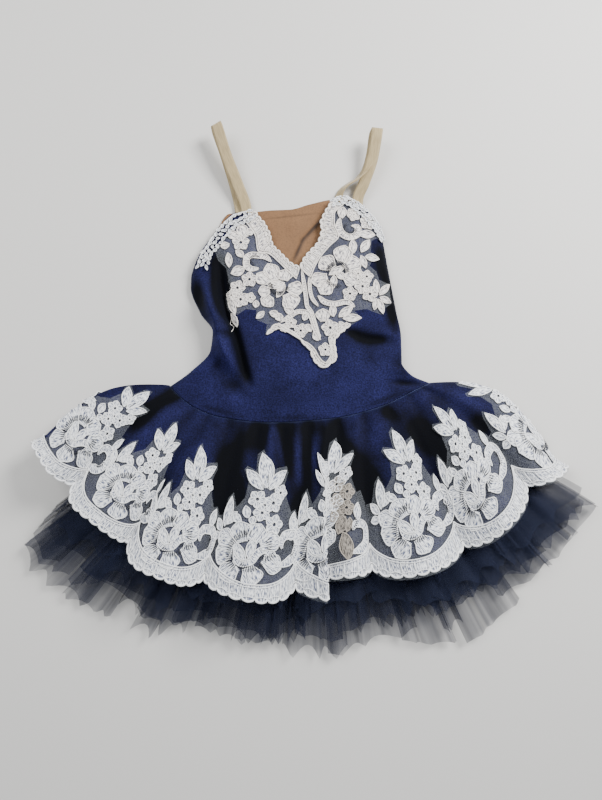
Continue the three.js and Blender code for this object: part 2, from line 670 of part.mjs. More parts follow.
// The lower edge of the lace within one scallop, from notch to notch.
function lobeEdge(across) {
  const fromMiddle = clamp(Math.abs(2 * across / REPEAT_WIDTH), 0, 1);
  return NOTCH_UP - (LOBE + NOTCH_UP) * (1 - fromMiddle ** LOBE_SHAPE.flat) ** LOBE_SHAPE.full;
}

// A point of a scallop as a flat place along the whole hem. A spike keeps its width higher up,
// where the skirt is narrower, so it takes a larger share of the skirt there.
function alongHem(index, across, up) {
  const narrow = lerp(1, SPIKE_NARROWS, clamp(up / SKIRT_LENGTH, 0, 1));
  const fromMiddle = Math.abs(2 * across / REPEAT_WIDTH);
  const widen = lerp(1 / narrow, 1, clamp(fromMiddle, 0, 1));
  return new THREE.Vector2((index + 0.5) * REPEAT_WIDTH + across * widen, up);
}

const repeatAt = (p) => p.x / REPEAT_WIDTH;
const downAt = (p) => 1 - p.y / SKIRT_LENGTH;

// One scallop with its spike, and the raised band and motifs on it.
function hemCell(index, withMotifs) {
  const steps = Array.from({ length: EDGE_STEPS + 1 }, (_, k) => (k / EDGE_STEPS - 0.5) * REPEAT_WIDTH);
  const lower = steps.map((across) => ({ across, up: lobeEdge(across) }));
  const valley = { across: REPEAT_WIDTH / 2, up: SPIKE[0].up };
  const place = ({ across, up }) => alongHem(index, across, up);
  const outline = [...lower, valley, ...[...SPIKE].reverse()].map(place);
  if (!withMotifs) return { outline, raised: [] };
  const narrower = 1 - (2 * BAND_INSET) / REPEAT_WIDTH;
  const band = lower.map(({ across, up }) => ({ across: across * narrower, up: up + BAND_INSET }));
  const bandTop = [...band].reverse().map(({ across, up }) => ({ across, up: up + BAND_WIDTH }));
  const motifs = HEM_MOTIFS.map((motif) => (
    MOTIFS[motif.kind]({ ...motif, x: motif.across, y: motif.up }).map((p) => ({ across: p.x, up: p.y }))));
  return { outline, raised: [[...band, ...bandTop], ...motifs].map((shape) => shape.map(place)) };
}

const hemCells = (withMotifs) => Array.from({ length: REPEATS }, (_, index) => hemCell(index, withMotifs));

// The front lace bends at each column of the skirt's own wall.
const COLUMN_CUTS = Array.from({ length: FRONT_COLUMNS - 1 }, (_, k) => (
  { axis: 'x', value: (REPEAT_WIDTH * (k + 1)) / COLUMNS_PER_REPEAT }));

function hemLaceFront() {
  const lay = (p, lift) => onSkirtFront(repeatAt(p), downAt(p)).add(new THREE.Vector3(0, 0, lift));
  return lacePlate('hem_lace_front', hemCells(true), COLUMN_CUTS, lay, HEM_LACE_GAP);
}

// The back lace bends only where the corners lift.
const BACK_CUTS = [
  ...[1, 2, 3, 4, 20, 21, 22, 23].map((third) => ({ axis: 'x', value: (third / 3) * REPEAT_WIDTH })),
  { axis: 'y', value: 60 },
];

// The back lace lies under the skirt's back, flat on the table and plain below.
function hemLaceBack() {
  const lay = (p, lift) => {
    const point = skirtBackPoint(clamp(repeatAt(p) / REPEATS, 0, 1), downAt(p) * BACK_HEM_DOWN);
    return new THREE.Vector3(point.x, point.y, cornerLift(point.x, point.y) + lift);
  };
  return lacePlate('hem_lace_back', hemCells(false), BACK_CUTS, lay, 0);
}

// Underskirt.
function tullePoint(sheet, share, down) {
  const waistX = lerp(-WAIST_HALF, WAIST_HALF, share);
  const waist = new THREE.Vector2(waistX, read(WAIST, 'x', 'y', waistX) - SHEET_BELOW_SEAM);
  const plan = waist.lerp(placeIn(TULLE_EDGE, 'share', share), down);
  const dropped = smoothstep(down, SHEETS_DROP.from, 1);
  const step = lerp(SHEET_STEP_WAIST, SHEET_STEP_HEM, smoothstep(down, 0, SHEETS_SPREAD))
    - SHEETS_DROP.closer * dropped;
  const settled = 1 - (1 - clamp(down / SHEETS_SETTLE, 0, 1)) ** 2;
  const first = lerp(FIRST_SHEET_WAIST, FIRST_SHEET_HEM, settled)
    + (FIRST_SHEET_EDGE - FIRST_SHEET_HEM) * dropped;
  const turn = 2 * Math.PI * (sheet.waves * share + sheet.phase);
  const wave = SHEET_WAVE * (step - SHEET_STEP_WAIST) * Math.sin(turn);
  return new THREE.Vector3(plan.x, plan.y, first + sheet.level * step + wave + NET / 2);
}

const SHEET_ROWS = [0, 0.574, 1];

function tulleSheet(sheet) {
  const columns = sheet.waves * 4;
  const grid = Array.from({ length: columns + 1 }, (_, i) => {
    const share = i / columns;
    const strip = Math.floor(share * STRIPS + sheet.phase);
    const length = sheet.length * (1 - RAGGED * chance(strip, sheet.level + 1));
    return SHEET_ROWS.map((row) => tullePoint(sheet, share, length * row));
  });
  return wallFromGrid(sheet.name, grid, NET, TULLE);
}

// Bodice front: between its side folds, its waist and its neck line.
function bodicePoint(share, up) {
  const seam = seamPoint(share * REPEATS);
  const top = placeIn(NECK_LINE, 'share', share);
  const [left, right] = [placeIn(BODICE_LEFT, 'share', up), placeIn(BODICE_RIGHT, 'share', up)];
  const corner = (rows, end) => new THREE.Vector2(rows.at(end).x, rows.at(end).y);
  const plan = left.multiplyScalar(1 - share).add(right.multiplyScalar(share))
    .add(seam.multiplyScalar(1 - up)).add(top.multiplyScalar(up));
  plan.addScaledVector(corner(BODICE_LEFT, 0), -(1 - share) * (1 - up));
  plan.addScaledVector(corner(BODICE_RIGHT, 0), -share * (1 - up));
  plan.addScaledVector(corner(BODICE_LEFT, -1), -(1 - share) * up);
  plan.addScaledVector(corner(BODICE_RIGHT, -1), -share * up);
  return plan;
}

function bodiceHeight(share, up, { x, y }) {
  const fromSide = Math.min(share, 1 - share);
  const roundness = Math.sqrt(1 - (1 - clamp(fromSide / BODICE_SIDE_ROUND, 0, 1)) ** 2);
  const middle = lerp(SEAM_TOP, BODICE_HEIGHT, smoothstep(up, 0, WAIST_RISE));
  const full = lerp(middle, NECK_EDGE, smoothstep(up, NECK_FALL, 1));
  const creaseX = read(CREASE_LINE, 'y', 'x', y);
  const within = ({ low, high, rise, fall }) => (
    smoothstep(y, low, low + rise) * (1 - smoothstep(y, high - fall, high)));
  const hill = (distance, width) => Math.exp(-((distance / width) ** 2));
  const crease = -CREASE.depth * within(CREASE) * hill(x - creaseX, CREASE.width);
  const roll = ROLL.height * within(ROLL) * hill(x - creaseX + ROLL.beside, ROLL.width);
  return Math.max(BODICE_EDGE, lerp(BODICE_EDGE, full + crease + roll, roundness));
}

function bodiceFront() {
  const columns = 32;
  const rows = 8;
  const grid = Array.from({ length: columns + 1 }, (_, i) => Array.from({ length: rows + 1 }, (__, j) => {
    const [share, up] = [i / columns, j / rows];
    const plan = bodicePoint(share, up);
    return new THREE.Vector3(plan.x, plan.y, bodiceHeight(share, up, plan));
  }));
  return { grid, mesh: wallFromGrid('bodice_front', grid, CLOTH, VELVET) };
}

// Height of a grid's surface above a place, or the nearest grid point's height beside it.
function heightOn(grid, x, y) {
  const inside = (a, b, c) => {
    const area = (b.x - a.x) * (c.y - a.y) - (c.x - a.x) * (b.y - a.y);
    const f = ((x - a.x) * (c.y - a.y) - (c.x - a.x) * (y - a.y)) / area;
    const g = ((b.x - a.x) * (y - a.y) - (x - a.x) * (b.y - a.y)) / area;
    return f >= 0 && g >= 0 && f + g <= 1 ? a.z + f * (b.z - a.z) + g * (c.z - a.z) : null;
  };
  let nearest = { distance: Infinity, z: 0 };
  for (let i = 0; i < grid.length - 1; i += 1) {
    for (let j = 0; j < grid[i].length - 1; j += 1) {
      const [a, b, c, d] = [grid[i][j], grid[i][j + 1], grid[i + 1][j + 1], grid[i + 1][j]];
      const height = inside(a, b, c) ?? inside(a, c, d);
      if (height !== null) return height;
      const distance = Math.hypot(a.x - x, a.y - y);
      if (distance < nearest.distance) nearest = { distance, z: a.z };
    }
  }
  return nearest.z;
}

// The appliques bend along these lines, which miss the corners of their outlines.
const APPLIQUE_CUTS = [
  ...[-59.7, -41.7, -19.7, 4.3, 30.3, 48.3, 66.3].map((value) => ({ axis: 'x', value })),
  ...[90.3, 120.3, 150.3, 157.3, 185.3, 205.3].map((value) => ({ axis: 'y', value })),
];

function applique(name, side, grid) {
  const shift = side === 'left' ? -LACE_GAP / 2 : LACE_GAP / 2;
  const edge = side === 'left' ? APPLIQUE_LEFT : APPLIQUE_RIGHT;
  const middle = APPLIQUE_MIDDLE.map(({ x, y }) => new THREE.Vector2(x + shift, y));
  const outline = [...middle, ...edge.map(({ x, y }) => new THREE.Vector2(x, y))];
  const raised = APPLIQUE_MOTIFS.filter((motif) => motif.side === side)
    .map((motif) => MOTIFS[motif.kind](motif));
  const lay = (p, lift) => new THREE.Vector3(p.x, p.y, heightOn(grid, p.x, p.y) + lift);
  return lacePlate(name, [{ outline, raised }], APPLIQUE_CUTS, lay, LACE_GAP);
}

// Armhole lace: a narrow strip along an armhole, with small gathers across it.
function armholeLace(name, from, to, width, gathers, grid) {
  const steps = gathers * 4;
  const columns = Array.from({ length: steps + 1 }, (_, i) => {
    const share = lerp(from, to, i / steps);
    const edge = bodicePoint(share, 1);
    const ahead = bodicePoint(share + 0.01, 1).sub(bodicePoint(share - 0.01, 1)).normalize();
    const inward = new THREE.Vector2(ahead.y, -ahead.x);
    return [LACE_FROM_EDGE, width / 2, width].map((reach) => {
      const plan = edge.clone().addScaledVector(inward, reach);
      const ripple = LACE_RIPPLE * (1 + Math.sin((i / 4) * 2 * Math.PI));
      const z = heightOn(grid, plan.x, plan.y) + LACE_GAP + LACE_GROUND + ripple * (reach / width);
      return new THREE.Vector3(plan.x, plan.y, z);
    });
  });
  return wallFromGrid(name, columns, LACE_GROUND, LACE);
}

// Bodice back and the mesh yoke above it, flat on the table.
function sideCurve(rows, from, to, steps) {
  return Array.from({ length: steps + 1 }, (_, k) => {
    const at = lerp(from, to, k / steps);
    return new THREE.Vector2(read(rows, 'share', 'x', at) * BACK_INSET, read(rows, 'share', 'y', at));
  });
}

function yokeSeam(lift) {
  const { left, right, dip } = YOKE_SEAM;
  const steps = 10;
  return Array.from({ length: steps + 1 }, (_, k) => {
    const f = k / steps;
    return new THREE.Vector2(lerp(left.x, right.x, f), left.y - dip * Math.sin(Math.PI * f) + lift);
  });
}

function bodiceBack() {
  const waist = Array.from({ length: 17 }, (_, k) => seamPoint((k / 16) * REPEATS));
  const inset = waist.map((p) => new THREE.Vector2(p.x * BACK_INSET, p.y));
  const left = sideCurve(BODICE_LEFT, 0.05, 0.84, 8);
  const right = sideCurve(BODICE_RIGHT, 0.05, 0.76, 8);
  const outline = [...inset, ...right, ...yokeSeam(0).reverse(), ...left.reverse()];
  return clothPlate('bodice_back', outline, CLOTH, VELVET);
}

function backYoke() {
  const edge = YOKE_EDGE.map(({ x, y }) => new THREE.Vector2(x, y));
  return clothPlate('back_yoke', [...yokeSeam(SEAM_GAP), ...edge], CLOTH, NUDE);
}

// A strap: a band of elastic swept along its rows, with its twist in degrees.
function strap(name, rows) {
  const points = rows.map(({ x, y, z }) => new THREE.Vector3(x, y, z));
  const route = new THREE.CatmullRomCurve3(points, false, 'centripetal');
  const steps = (rows.length - 1) * 3;
  const twists = rows.map(({ twist }, index) => ({ index, twist }));
  const fold = rows[Math.floor(rows.length / 2)];
  const rings = Array.from({ length: steps + 1 }, (_, k) => {
    const at = k / steps;
    const centre = route.getPoint(at);
    const ahead = route.getTangent(at);
    const twist = degToRad(read(twists, 'index', 'twist', at * (rows.length - 1)));
    const leg = new THREE.Vector3(fold.x - rows[0].x, fold.y - rows[0].y, 0).normalize();
    const across = new THREE.Vector3(leg.y, -leg.x, 0).applyAxisAngle(leg, twist);
    across.addScaledVector(ahead, -across.dot(ahead)).normalize();
    const up = new THREE.Vector3().crossVectors(across, ahead).normalize();
    const corner = (a, b) => centre.clone()
      .addScaledVector(across, (a * STRAP_WIDTH) / 2).addScaledVector(up, (b * CLOTH) / 2);
    return [corner(-1, -1), corner(1, -1), corner(1, 1), corner(-1, 1)];
  });
  const triangles = [];
  const quad = (a, b, c, d) => triangles.push([a, b, c], [a, c, d]);
  for (let k = 0; k < steps; k += 1) {
    for (let side = 0; side < 4; side += 1) {
      const next = (side + 1) % 4;
      quad(rings[k][side], rings[k][next], rings[k + 1][next], rings[k + 1][side]);
    }
  }
  quad(...[...rings[0]].reverse());
  quad(...rings[steps]);
  return faceOut(name, triangles, ELASTIC);
}

const front = bodiceFront();
const dress = new THREE.Group();
dress.name = 'tutu_dress';
dress.position.y = -ORIGIN_ABOVE_SEAM;
dress.add(
  bodiceBack(),
  backYoke(),
  front.mesh,
  skirtBack(),
  skirtFront(),
  hemLaceBack(),
  hemLaceFront(),
  ...TULLE_SHEETS.map(tulleSheet),
  applique('bodice_lace_left', 'left', front.grid),
  applique('bodice_lace_right', 'right', front.grid),
  armholeLace('armhole_lace_left', 0.01, 0.2, 15, 7, front.grid),
  armholeLace('armhole_lace_right', 0.88, 0.99, 7, 4, front.grid),
  strap('strap_left', STRAP_LEFT),
  strap('strap_right', STRAP_RIGHT),
);

export default dress;
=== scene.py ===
# %% [markdown]
# # A small child's ballet tutu dress, laid flat with its front up
#
# The real dress is a camisole leotard top of stretch velvet with a gathered velvet skirt, a
# corded lace along its hem and over its cups, and several layers of tulle that hold the skirt out.
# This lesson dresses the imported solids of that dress. Each piece of cloth is a thin shell on the
# same form as its solid, worked out from a few tables, and each thread of the lace that the eye
# can follow is a real cord.

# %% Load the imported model
import math

import bpy
import numpy as np
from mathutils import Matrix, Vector
from mathutils.bvhtree import BVHTree
from mathutils.geometry import delaunay_2d_cdt


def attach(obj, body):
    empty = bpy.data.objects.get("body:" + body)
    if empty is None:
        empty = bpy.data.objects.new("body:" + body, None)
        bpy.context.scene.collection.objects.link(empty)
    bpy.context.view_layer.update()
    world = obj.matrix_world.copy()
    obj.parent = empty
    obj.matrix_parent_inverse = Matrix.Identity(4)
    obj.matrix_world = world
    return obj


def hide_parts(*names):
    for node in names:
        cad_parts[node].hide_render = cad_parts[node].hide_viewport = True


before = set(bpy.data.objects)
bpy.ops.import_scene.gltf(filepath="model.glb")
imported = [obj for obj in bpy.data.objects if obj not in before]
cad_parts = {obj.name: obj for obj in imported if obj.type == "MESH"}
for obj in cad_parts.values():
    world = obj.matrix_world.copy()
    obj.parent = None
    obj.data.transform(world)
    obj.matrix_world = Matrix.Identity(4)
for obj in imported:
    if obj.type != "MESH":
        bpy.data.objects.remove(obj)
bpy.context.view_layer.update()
print("solids:", sorted(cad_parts))

# %% [markdown]
# ## Units
# The tables count millimetres from the middle of the waist seam, as a pattern cutter would. The
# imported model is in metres, and its origin lies a little above that seam.

# %% From the cutter's millimetres to the frame
MM = 0.001
ORIGIN_ABOVE_SEAM = 30


def to_frame(points):
    """Points in millimetres from the waist seam, as metres in the frame."""
    return (np.asarray(points, float) - (0, ORIGIN_ABOVE_SEAM, 0)) * MM


# %% [markdown]
# ## Camera
# The photograph was taken with a phone held over the dress, so the lens is short and looks almost
# straight down. The distance and the tilt were worked out from the dress's own proportions.

# %% Camera over the dress
CAMERA_BELOW_SEAM = 66.5
CAMERA_HEIGHT = 570
CAMERA_TILT = 9
LENS = 26.0

camera = bpy.data.objects.new("camera", bpy.data.cameras.new("camera"))
bpy.context.collection.objects.link(camera)
camera.location = to_frame((0, -CAMERA_BELOW_SEAM, CAMERA_HEIGHT))
camera.rotation_euler = (math.radians(CAMERA_TILT), 0, 0)
camera.data.lens = LENS
bpy.context.scene.camera = camera

# %% [markdown]
# ## Materials
# Every finish starts from what the real cloth is. Colours are written as sRGB hex values, as a
# colour picker shows them, and one function turns them into the linear values that shaders use.
# One small function adds a node with its settings and its links.

# %% Colour and node helpers
def linear(hex_colour):
    """An sRGB hex colour as a linear colour with full alpha."""
    channels = [int(hex_colour[i:i + 2], 16) / 255 for i in (1, 3, 5)]
    return [c / 12.92 if c <= 0.04045 else ((c + 0.055) / 1.055) ** 2.4 for c in channels] + [1]


def add(tree, kind, inputs=None, out=0, **settings):
    """Adds a node and gives one of its outputs. Inputs take values or sockets that feed them."""
    node = tree.nodes.new(kind)
    for name, value in settings.items():
        setattr(node, name, value)
    for name, value in (inputs or {}).items():
        if isinstance(value, bpy.types.NodeSocket):
            tree.links.new(value, node.inputs[name])
        else:
            node.inputs[name].default_value = value
    return node.outputs[out]


def feed(tree, shader, **sources):
    """Links each source to the shader's own socket of that name."""
    for socket, source in sources.items():
        tree.links.new(source, shader.inputs[socket.replace("_", " ")])


MIX, MIX_FACTOR, MIX_A, MIX_B, MIX_RESULT = "ShaderNodeMix", 0, 6, 7, 2  # sockets for colour
RANGE, VALUE, LOW, HIGH, TO_LOW, TO_HIGH = "ShaderNodeMapRange", 0, 1, 2, 3, 4


def start_material(name, **values):
    """A new material, its tree and its shader. Plain values go straight onto the sockets."""
    material = bpy.data.materials.new(name)
    material.use_nodes = True
    shader = material.node_tree.nodes["Principled BSDF"]
    for socket, value in values.items():
        shader.inputs[socket.replace("_", " ")].default_value = value
    return material, material.node_tree, shader


# %% [markdown]
# ### Stretch velvet
# Velvet is a knitted ground with a short standing pile. Seen along the pile it looks almost
# black, and where the pile leans over it shines blue. The sheen layer gives the soft rim of light
# of a nylon pile. Painted shade in valleys and creases and painted highlight on ridges are given
# as an attribute named nap on each velvet piece, from 0 for black to 1 for shining.

# %% Velvet
PILE_MM = 1.3  # tufts are finer than this, and are drawn coarser so that they show
BRUSHED_MM = 24


def make_velvet():
    material, tree, shader = start_material(
        "stretch_velvet", Roughness=0.8, Sheen_Weight=0.2, Sheen_Roughness=0.4,
        Sheen_Tint=linear("#7480b8"), Specular_IOR_Level=0.1)
    place = add(tree, "ShaderNodeTexCoord", {}, "Object")
    nap = add(tree, "ShaderNodeAttribute", {}, "Fac", attribute_name="nap")
    brushed = add(tree, "ShaderNodeTexNoise",
                  {"Vector": place, "Scale": 1 / (BRUSHED_MM * MM), "Detail": 4.0})
    brushed = add(tree, RANGE, {VALUE: brushed, LOW: 0.3, HIGH: 0.7, TO_LOW: 0.55, TO_HIGH: 1.3})
    # The attribute scales the cloth's colour: painted shade where it is low, painted highlight where it is
    # high.
    lit = add(tree, "ShaderNodeMath", {0: nap, 1: brushed}, operation="MULTIPLY")
    cloth = add(tree, MIX, {MIX_FACTOR: lit, MIX_A: linear("#010207"), MIX_B: linear("#1f204a")},
                MIX_RESULT, data_type="RGBA")
    pile = add(tree, "ShaderNodeTexNoise", {"Vector": place, "Scale": 1 / (PILE_MM * MM), "Detail": 3.0})
    speckle = add(tree, RANGE, {VALUE: pile, LOW: 0.35, HIGH: 0.7, TO_LOW: 0.45, TO_HIGH: 1.35})
    cloth = add(tree, "ShaderNodeVectorMath", {0: cloth, 3: speckle}, operation="SCALE")
    relief = add(tree, "ShaderNodeBump", {"Height": pile, "Distance": 0.3 * MM, "Strength": 0.7})
    feed(tree, shader, Base_Color=cloth, Normal=relief)
    return material


VELVET = make_velvet()

# %% [markdown]
# ### Lace thread, satin stitch and net
# The lace is machine embroidery on a fine net. Its outlines are couched with a thick polyester
# cord, its petals and leaves are filled with rows of satin stitch that let some of the dark cloth
# show between them, and the net around them is sheer. On the bodice the same lace looks warmer.
# Lace that lies in a deep fold is drawn with darker threads, as painted shade. Where slits are
# open round a flower's heart the velvet shows, so dark strips in the colour of shaded velvet stand
# for them.

# %% Lace materials
TWIST_MM = 1.2
STITCH_MM = 1.0
NET_MM = 1.6  # real net cells are about 0.8 mm, drawn at twice that so that they show
NET_CLOUD_MM = 12


def make_cord(name, low, high):
    material, tree, shader = start_material(name, Roughness=0.5, Sheen_Weight=0.15, Sheen_Roughness=0.5)
    place = add(tree, "ShaderNodeTexCoord", {}, "Object")
    twist = add(tree, "ShaderNodeTexNoise", {"Vector": place, "Scale": 1 / (TWIST_MM * MM), "Detail": 1.0})
    colour = add(tree, MIX, {MIX_FACTOR: twist, MIX_A: linear(low), MIX_B: linear(high)},
                 MIX_RESULT, data_type="RGBA")
    relief = add(tree, "ShaderNodeBump", {"Height": twist, "Distance": 0.3 * MM})
    feed(tree, shader, Base_Color=colour, Normal=relief)
    return material


def make_satin(name, gap, thread):
    material, tree, shader = start_material(name, Roughness=0.55, Sheen_Weight=0.15, Sheen_Roughness=0.5)
    stitch = add(tree, "ShaderNodeAttribute", {}, "Vector", attribute_name="stitch")
    stretched = add(tree, "ShaderNodeMapping", {"Vector": stitch, "Scale": (0.22, 1, 1)})
    rows = add(tree, "ShaderNodeTexNoise", {"Vector": stretched, "Scale": 1 / STITCH_MM, "Detail": 1.5})
    gaps = add(tree, RANGE, {VALUE: rows, LOW: 0.38, HIGH: 0.57}, interpolation_type="SMOOTHSTEP")
    colour = add(tree, MIX, {MIX_FACTOR: gaps, MIX_A: linear(gap), MIX_B: linear(thread)},
                 MIX_RESULT, data_type="RGBA")
    relief = add(tree, "ShaderNodeBump", {"Height": rows, "Distance": 0.5 * MM})
    feed(tree, shader, Base_Color=colour, Normal=relief)
    return material


def make_net(name, low, high, thin, thick):
    """Sheer net: its threads are the walls of small cells, and alpha opens the cells."""
    material, tree, shader = start_material(name, Roughness=0.8)
    place = add(tree, "ShaderNodeTexCoord", {}, "Object")
    cell = add(tree, "ShaderNodeTexVoronoi", {"Vector": place, "Scale": 1 / (NET_MM * MM)},
               feature="DISTANCE_TO_EDGE")
    alpha = add(tree, RANGE, {VALUE: cell, LOW: 0.03, HIGH: 0.25, TO_LOW: thick, TO_HIGH: thin})
    cloud = add(tree, "ShaderNodeTexNoise", {"Vector": place, "Scale": 1 / (NET_CLOUD_MM * MM)})
    colour = add(tree, MIX, {MIX_FACTOR: cloud, MIX_A: linear(low), MIX_B: linear(high)},
                 MIX_RESULT, data_type="RGBA")
    feed(tree, shader, Base_Color=colour, Alpha=alpha)
    return material


CORD = make_cord("polyester_lace_cord", "#e6e7e7", "#ffffff")
SATIN = make_satin("satin_stitch", "#59607a", "#f4f6f7")
NET = make_net("nylon_lace_net", "#7c8085", "#94989e", 0.1, 0.3)
IVORY_CORD = make_cord("ivory_lace_cord", "#e2d9d0", "#fffaf3")
IVORY_SATIN = make_satin("ivory_satin_stitch", "#6b6973", "#fbf4ec")
# Lace in the deep fold gets darker threads as painted shade.
SHADED_CORD = make_cord("lace_cord_in_painted_shade", "#8f877c", "#b9b0a4")
SLIT = make_cord("velvet_between_stitches", "#04060d", "#0c1022")
SHADED_SATIN = make_satin("satin_stitch_in_painted_shade", "#4c4843", "#a49b8f")

# %% [markdown]
# ### Tulle, power mesh and elastic
# Tulle is a stiff nylon net. One layer lets half of what is under it show, and its gathers show as
# soft darker streaks that run away from the waist. Power mesh is a dense skin-coloured net that
# reads as a plain matt cloth with tiny holes. The straps are woven elastic with ribs along them.

# %% Tulle, power mesh and elastic materials
GATHER_MM = 9
MESH_HOLE_MM = 1.3  # real holes are about 0.5 mm
MESH_CLOUD_MM = 30
RIB_MM = 1.5


def make_tulle():
    material, tree, shader = start_material("nylon_tulle", Roughness=0.85, Specular_IOR_Level=0.2)
    cut = add(tree, "ShaderNodeAttribute", {}, "Vector", attribute_name="cut")
    stretched = add(tree, "ShaderNodeMapping", {"Vector": cut, "Scale": (1, 0.04, 1)})
    gathers = add(tree, "ShaderNodeTexNoise", {"Vector": stretched, "Scale": 1 / GATHER_MM, "Detail": 4.0})
    alpha = add(tree, RANGE, {VALUE: gathers, LOW: 0.38, HIGH: 0.66, TO_LOW: 0.32, TO_HIGH: 0.7})
    colour = add(tree, MIX, {MIX_FACTOR: gathers, MIX_A: linear("#262c44"), MIX_B: linear("#0a0e1c")},
                 MIX_RESULT, data_type="RGBA")
    feed(tree, shader, Base_Color=colour, Alpha=alpha)
    return material


def make_power_mesh():
    material, tree, shader = start_material("nude_power_mesh", Roughness=0.75)
    place = add(tree, "ShaderNodeTexCoord", {}, "Object")
    holes = add(tree, "ShaderNodeTexNoise",
                {"Vector": place, "Scale": 1 / (MESH_HOLE_MM * MM), "Detail": 1.0})
    nap = add(tree, "ShaderNodeAttribute", {}, "Fac", attribute_name="nap")
    cloud = add(tree, "ShaderNodeTexNoise",
                {"Vector": place, "Scale": 1 / (MESH_CLOUD_MM * MM), "Detail": 3.0})
    tone = add(tree, MIX, {MIX_FACTOR: cloud, MIX_A: linear("#6a492b"), MIX_B: linear("#866240")},
               MIX_RESULT, data_type="RGBA")
    # Painted shade: the mesh is darkened along its creases where the attribute is low.
    shade = add(tree, MIX, {MIX_FACTOR: nap, MIX_A: linear("#35210f"), MIX_B: tone}, MIX_RESULT,
                data_type="RGBA")
    speck = add(tree, RANGE, {VALUE: holes, LOW: 0.3, HIGH: 0.6, TO_LOW: 0.82, TO_HIGH: 1.05})
    colour = add(tree, "ShaderNodeVectorMath", {0: shade, 3: speck}, operation="SCALE")
    feed(tree, shader, Base_Color=colour)
    return material


def make_elastic():
    material, tree, shader = start_material("woven_strap_elastic", Roughness=0.6, Sheen_Weight=0.2)
    cut = add(tree, "ShaderNodeAttribute", {}, "Vector", attribute_name="cut")
    stretched = add(tree, "ShaderNodeMapping", {"Vector": cut, "Scale": (0.15, 1, 1)})
    ribs = add(tree, "ShaderNodeTexNoise", {"Vector": stretched, "Scale": 1 / RIB_MM, "Detail": 1.0})
    colour = add(tree, MIX, {MIX_FACTOR: ribs, MIX_A: linear("#8c7953"), MIX_B: linear("#bba87e")},
                 MIX_RESULT, data_type="RGBA")
    relief = add(tree, "ShaderNodeBump", {"Height": ribs, "Distance": 0.3 * MM})
    feed(tree, shader, Base_Color=colour, Normal=relief)
    return material


TULLE = make_tulle()
POWER_MESH = make_power_mesh()
ELASTIC = make_elastic()

# %% [markdown]
# ## Tables and shells
# A table has named columns, and one function reads a column smoothly between its rows. A shell is
# a sheet of cloth: a grid of points for its outer face, and the same grid moved in by the cloth's
# thickness for its inner one. Arrays make both quick to work out.


# %% Tables
def table(columns, *rows):
    """A table as one array for each named column."""
    return dict(zip(columns.split(), np.array(rows, float).T))


def records(columns, *rows):
    """A table as one record for each row."""
    return [dict(zip(columns.split(), row)) for row in rows]


def read(rows, key, name, at):
    """Reads a column smoothly at values of its key column, with no overshoot."""
    keys, values = rows[key], rows[name]
    steps = np.diff(values) / np.diff(keys)
    before, after = steps[:-1], steps[1:]
    total = np.where(before + after == 0, 1, before + after)
    middle = np.where(before * after > 0, 2 * before * after / total, 0)
    slopes = np.concatenate([steps[:1], middle, steps[-1:]])
    i = np.clip(np.searchsorted(keys, at, side="right") - 1, 0, len(keys) - 2)
    span = keys[i + 1] - keys[i]
    f = np.clip((at - keys[i]) / span, 0, 1)
    return ((2 * f ** 3 - 3 * f ** 2 + 1) * values[i] + (f ** 3 - 2 * f ** 2 + f) * span * slopes[i]
            + (3 * f ** 2 - 2 * f ** 3) * values[i + 1] + (f ** 3 - f ** 2) * span * slopes[i + 1])


def path(rows, key, at, names="xy"):
    return np.stack([read(rows, key, name, at) for name in names], -1)


def mix(a, b, f):
    return a + (b - a) * f


def soft_step(x, low, high):
    f = np.clip((x - low) / (high - low), 0, 1)
    return f * f * (3 - 2 * f)


def hill(distance, width):
    return np.exp(-(distance / width) ** 2)


def unit(vectors, least=1e-9):
    return vectors / np.maximum(np.linalg.norm(vectors, axis=-1, keepdims=True), least)


def run(line):
    """How far along a line each of its points lies."""
    return np.concatenate([[0], np.cumsum(np.linalg.norm(np.diff(line, axis=0), axis=1))])


def raised(plan, height):
    return np.concatenate([plan, height[..., None]], -1)


def unit_grid(columns, rows):
    """Two grids of shares from 0 to 1: across the columns, and along the rows."""
    return np.meshgrid(np.linspace(0, 1, columns), np.linspace(0, 1, rows), indexing="ij")


# %% Meshes
def new_piece(name, points, faces, material, attributes=None):
    """A mesh that rides on the dress. Its points are in millimetres from the waist seam."""
    mesh = bpy.data.meshes.new(name)
    mesh.from_pydata(to_frame(points).tolist(), [], [[int(corner) for corner in face] for face in faces])
    mesh.validate()
    for title, values in (attributes or {}).items():
        values = np.asarray(values, np.float32)
        kind, field = ("FLOAT_VECTOR", "vector") if values.ndim == 2 else ("FLOAT", "value")
        mesh.attributes.new(title, kind, "POINT").data.foreach_set(field, values.ravel())
    mesh.polygons.foreach_set("use_smooth", [True] * len(mesh.polygons))
    mesh.materials.append(material)
    piece = bpy.data.objects.new(name, mesh)
    bpy.context.collection.objects.link(piece)
    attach(piece, "root")
    print(name, len(mesh.vertices), "points", len(mesh.polygons), "faces")
    return piece


def grid_normals(grid):
    across, along = np.gradient(grid, axis=0), np.gradient(grid, axis=1)
    normal = unit(np.cross(across, along))
    return normal * np.sign(normal[..., 2].mean() or 1)


def grid_faces(columns, rows, first=0, flip=False):
    i, j = np.meshgrid(np.arange(columns - 1), np.arange(rows - 1), indexing="ij")
    a = (first + i * rows + j).ravel()
    quads = np.stack([a, a + rows, a + rows + 1, a + 1], -1)
    return quads[:, ::-1] if flip else quads


ABOVE_TABLE = 0.02


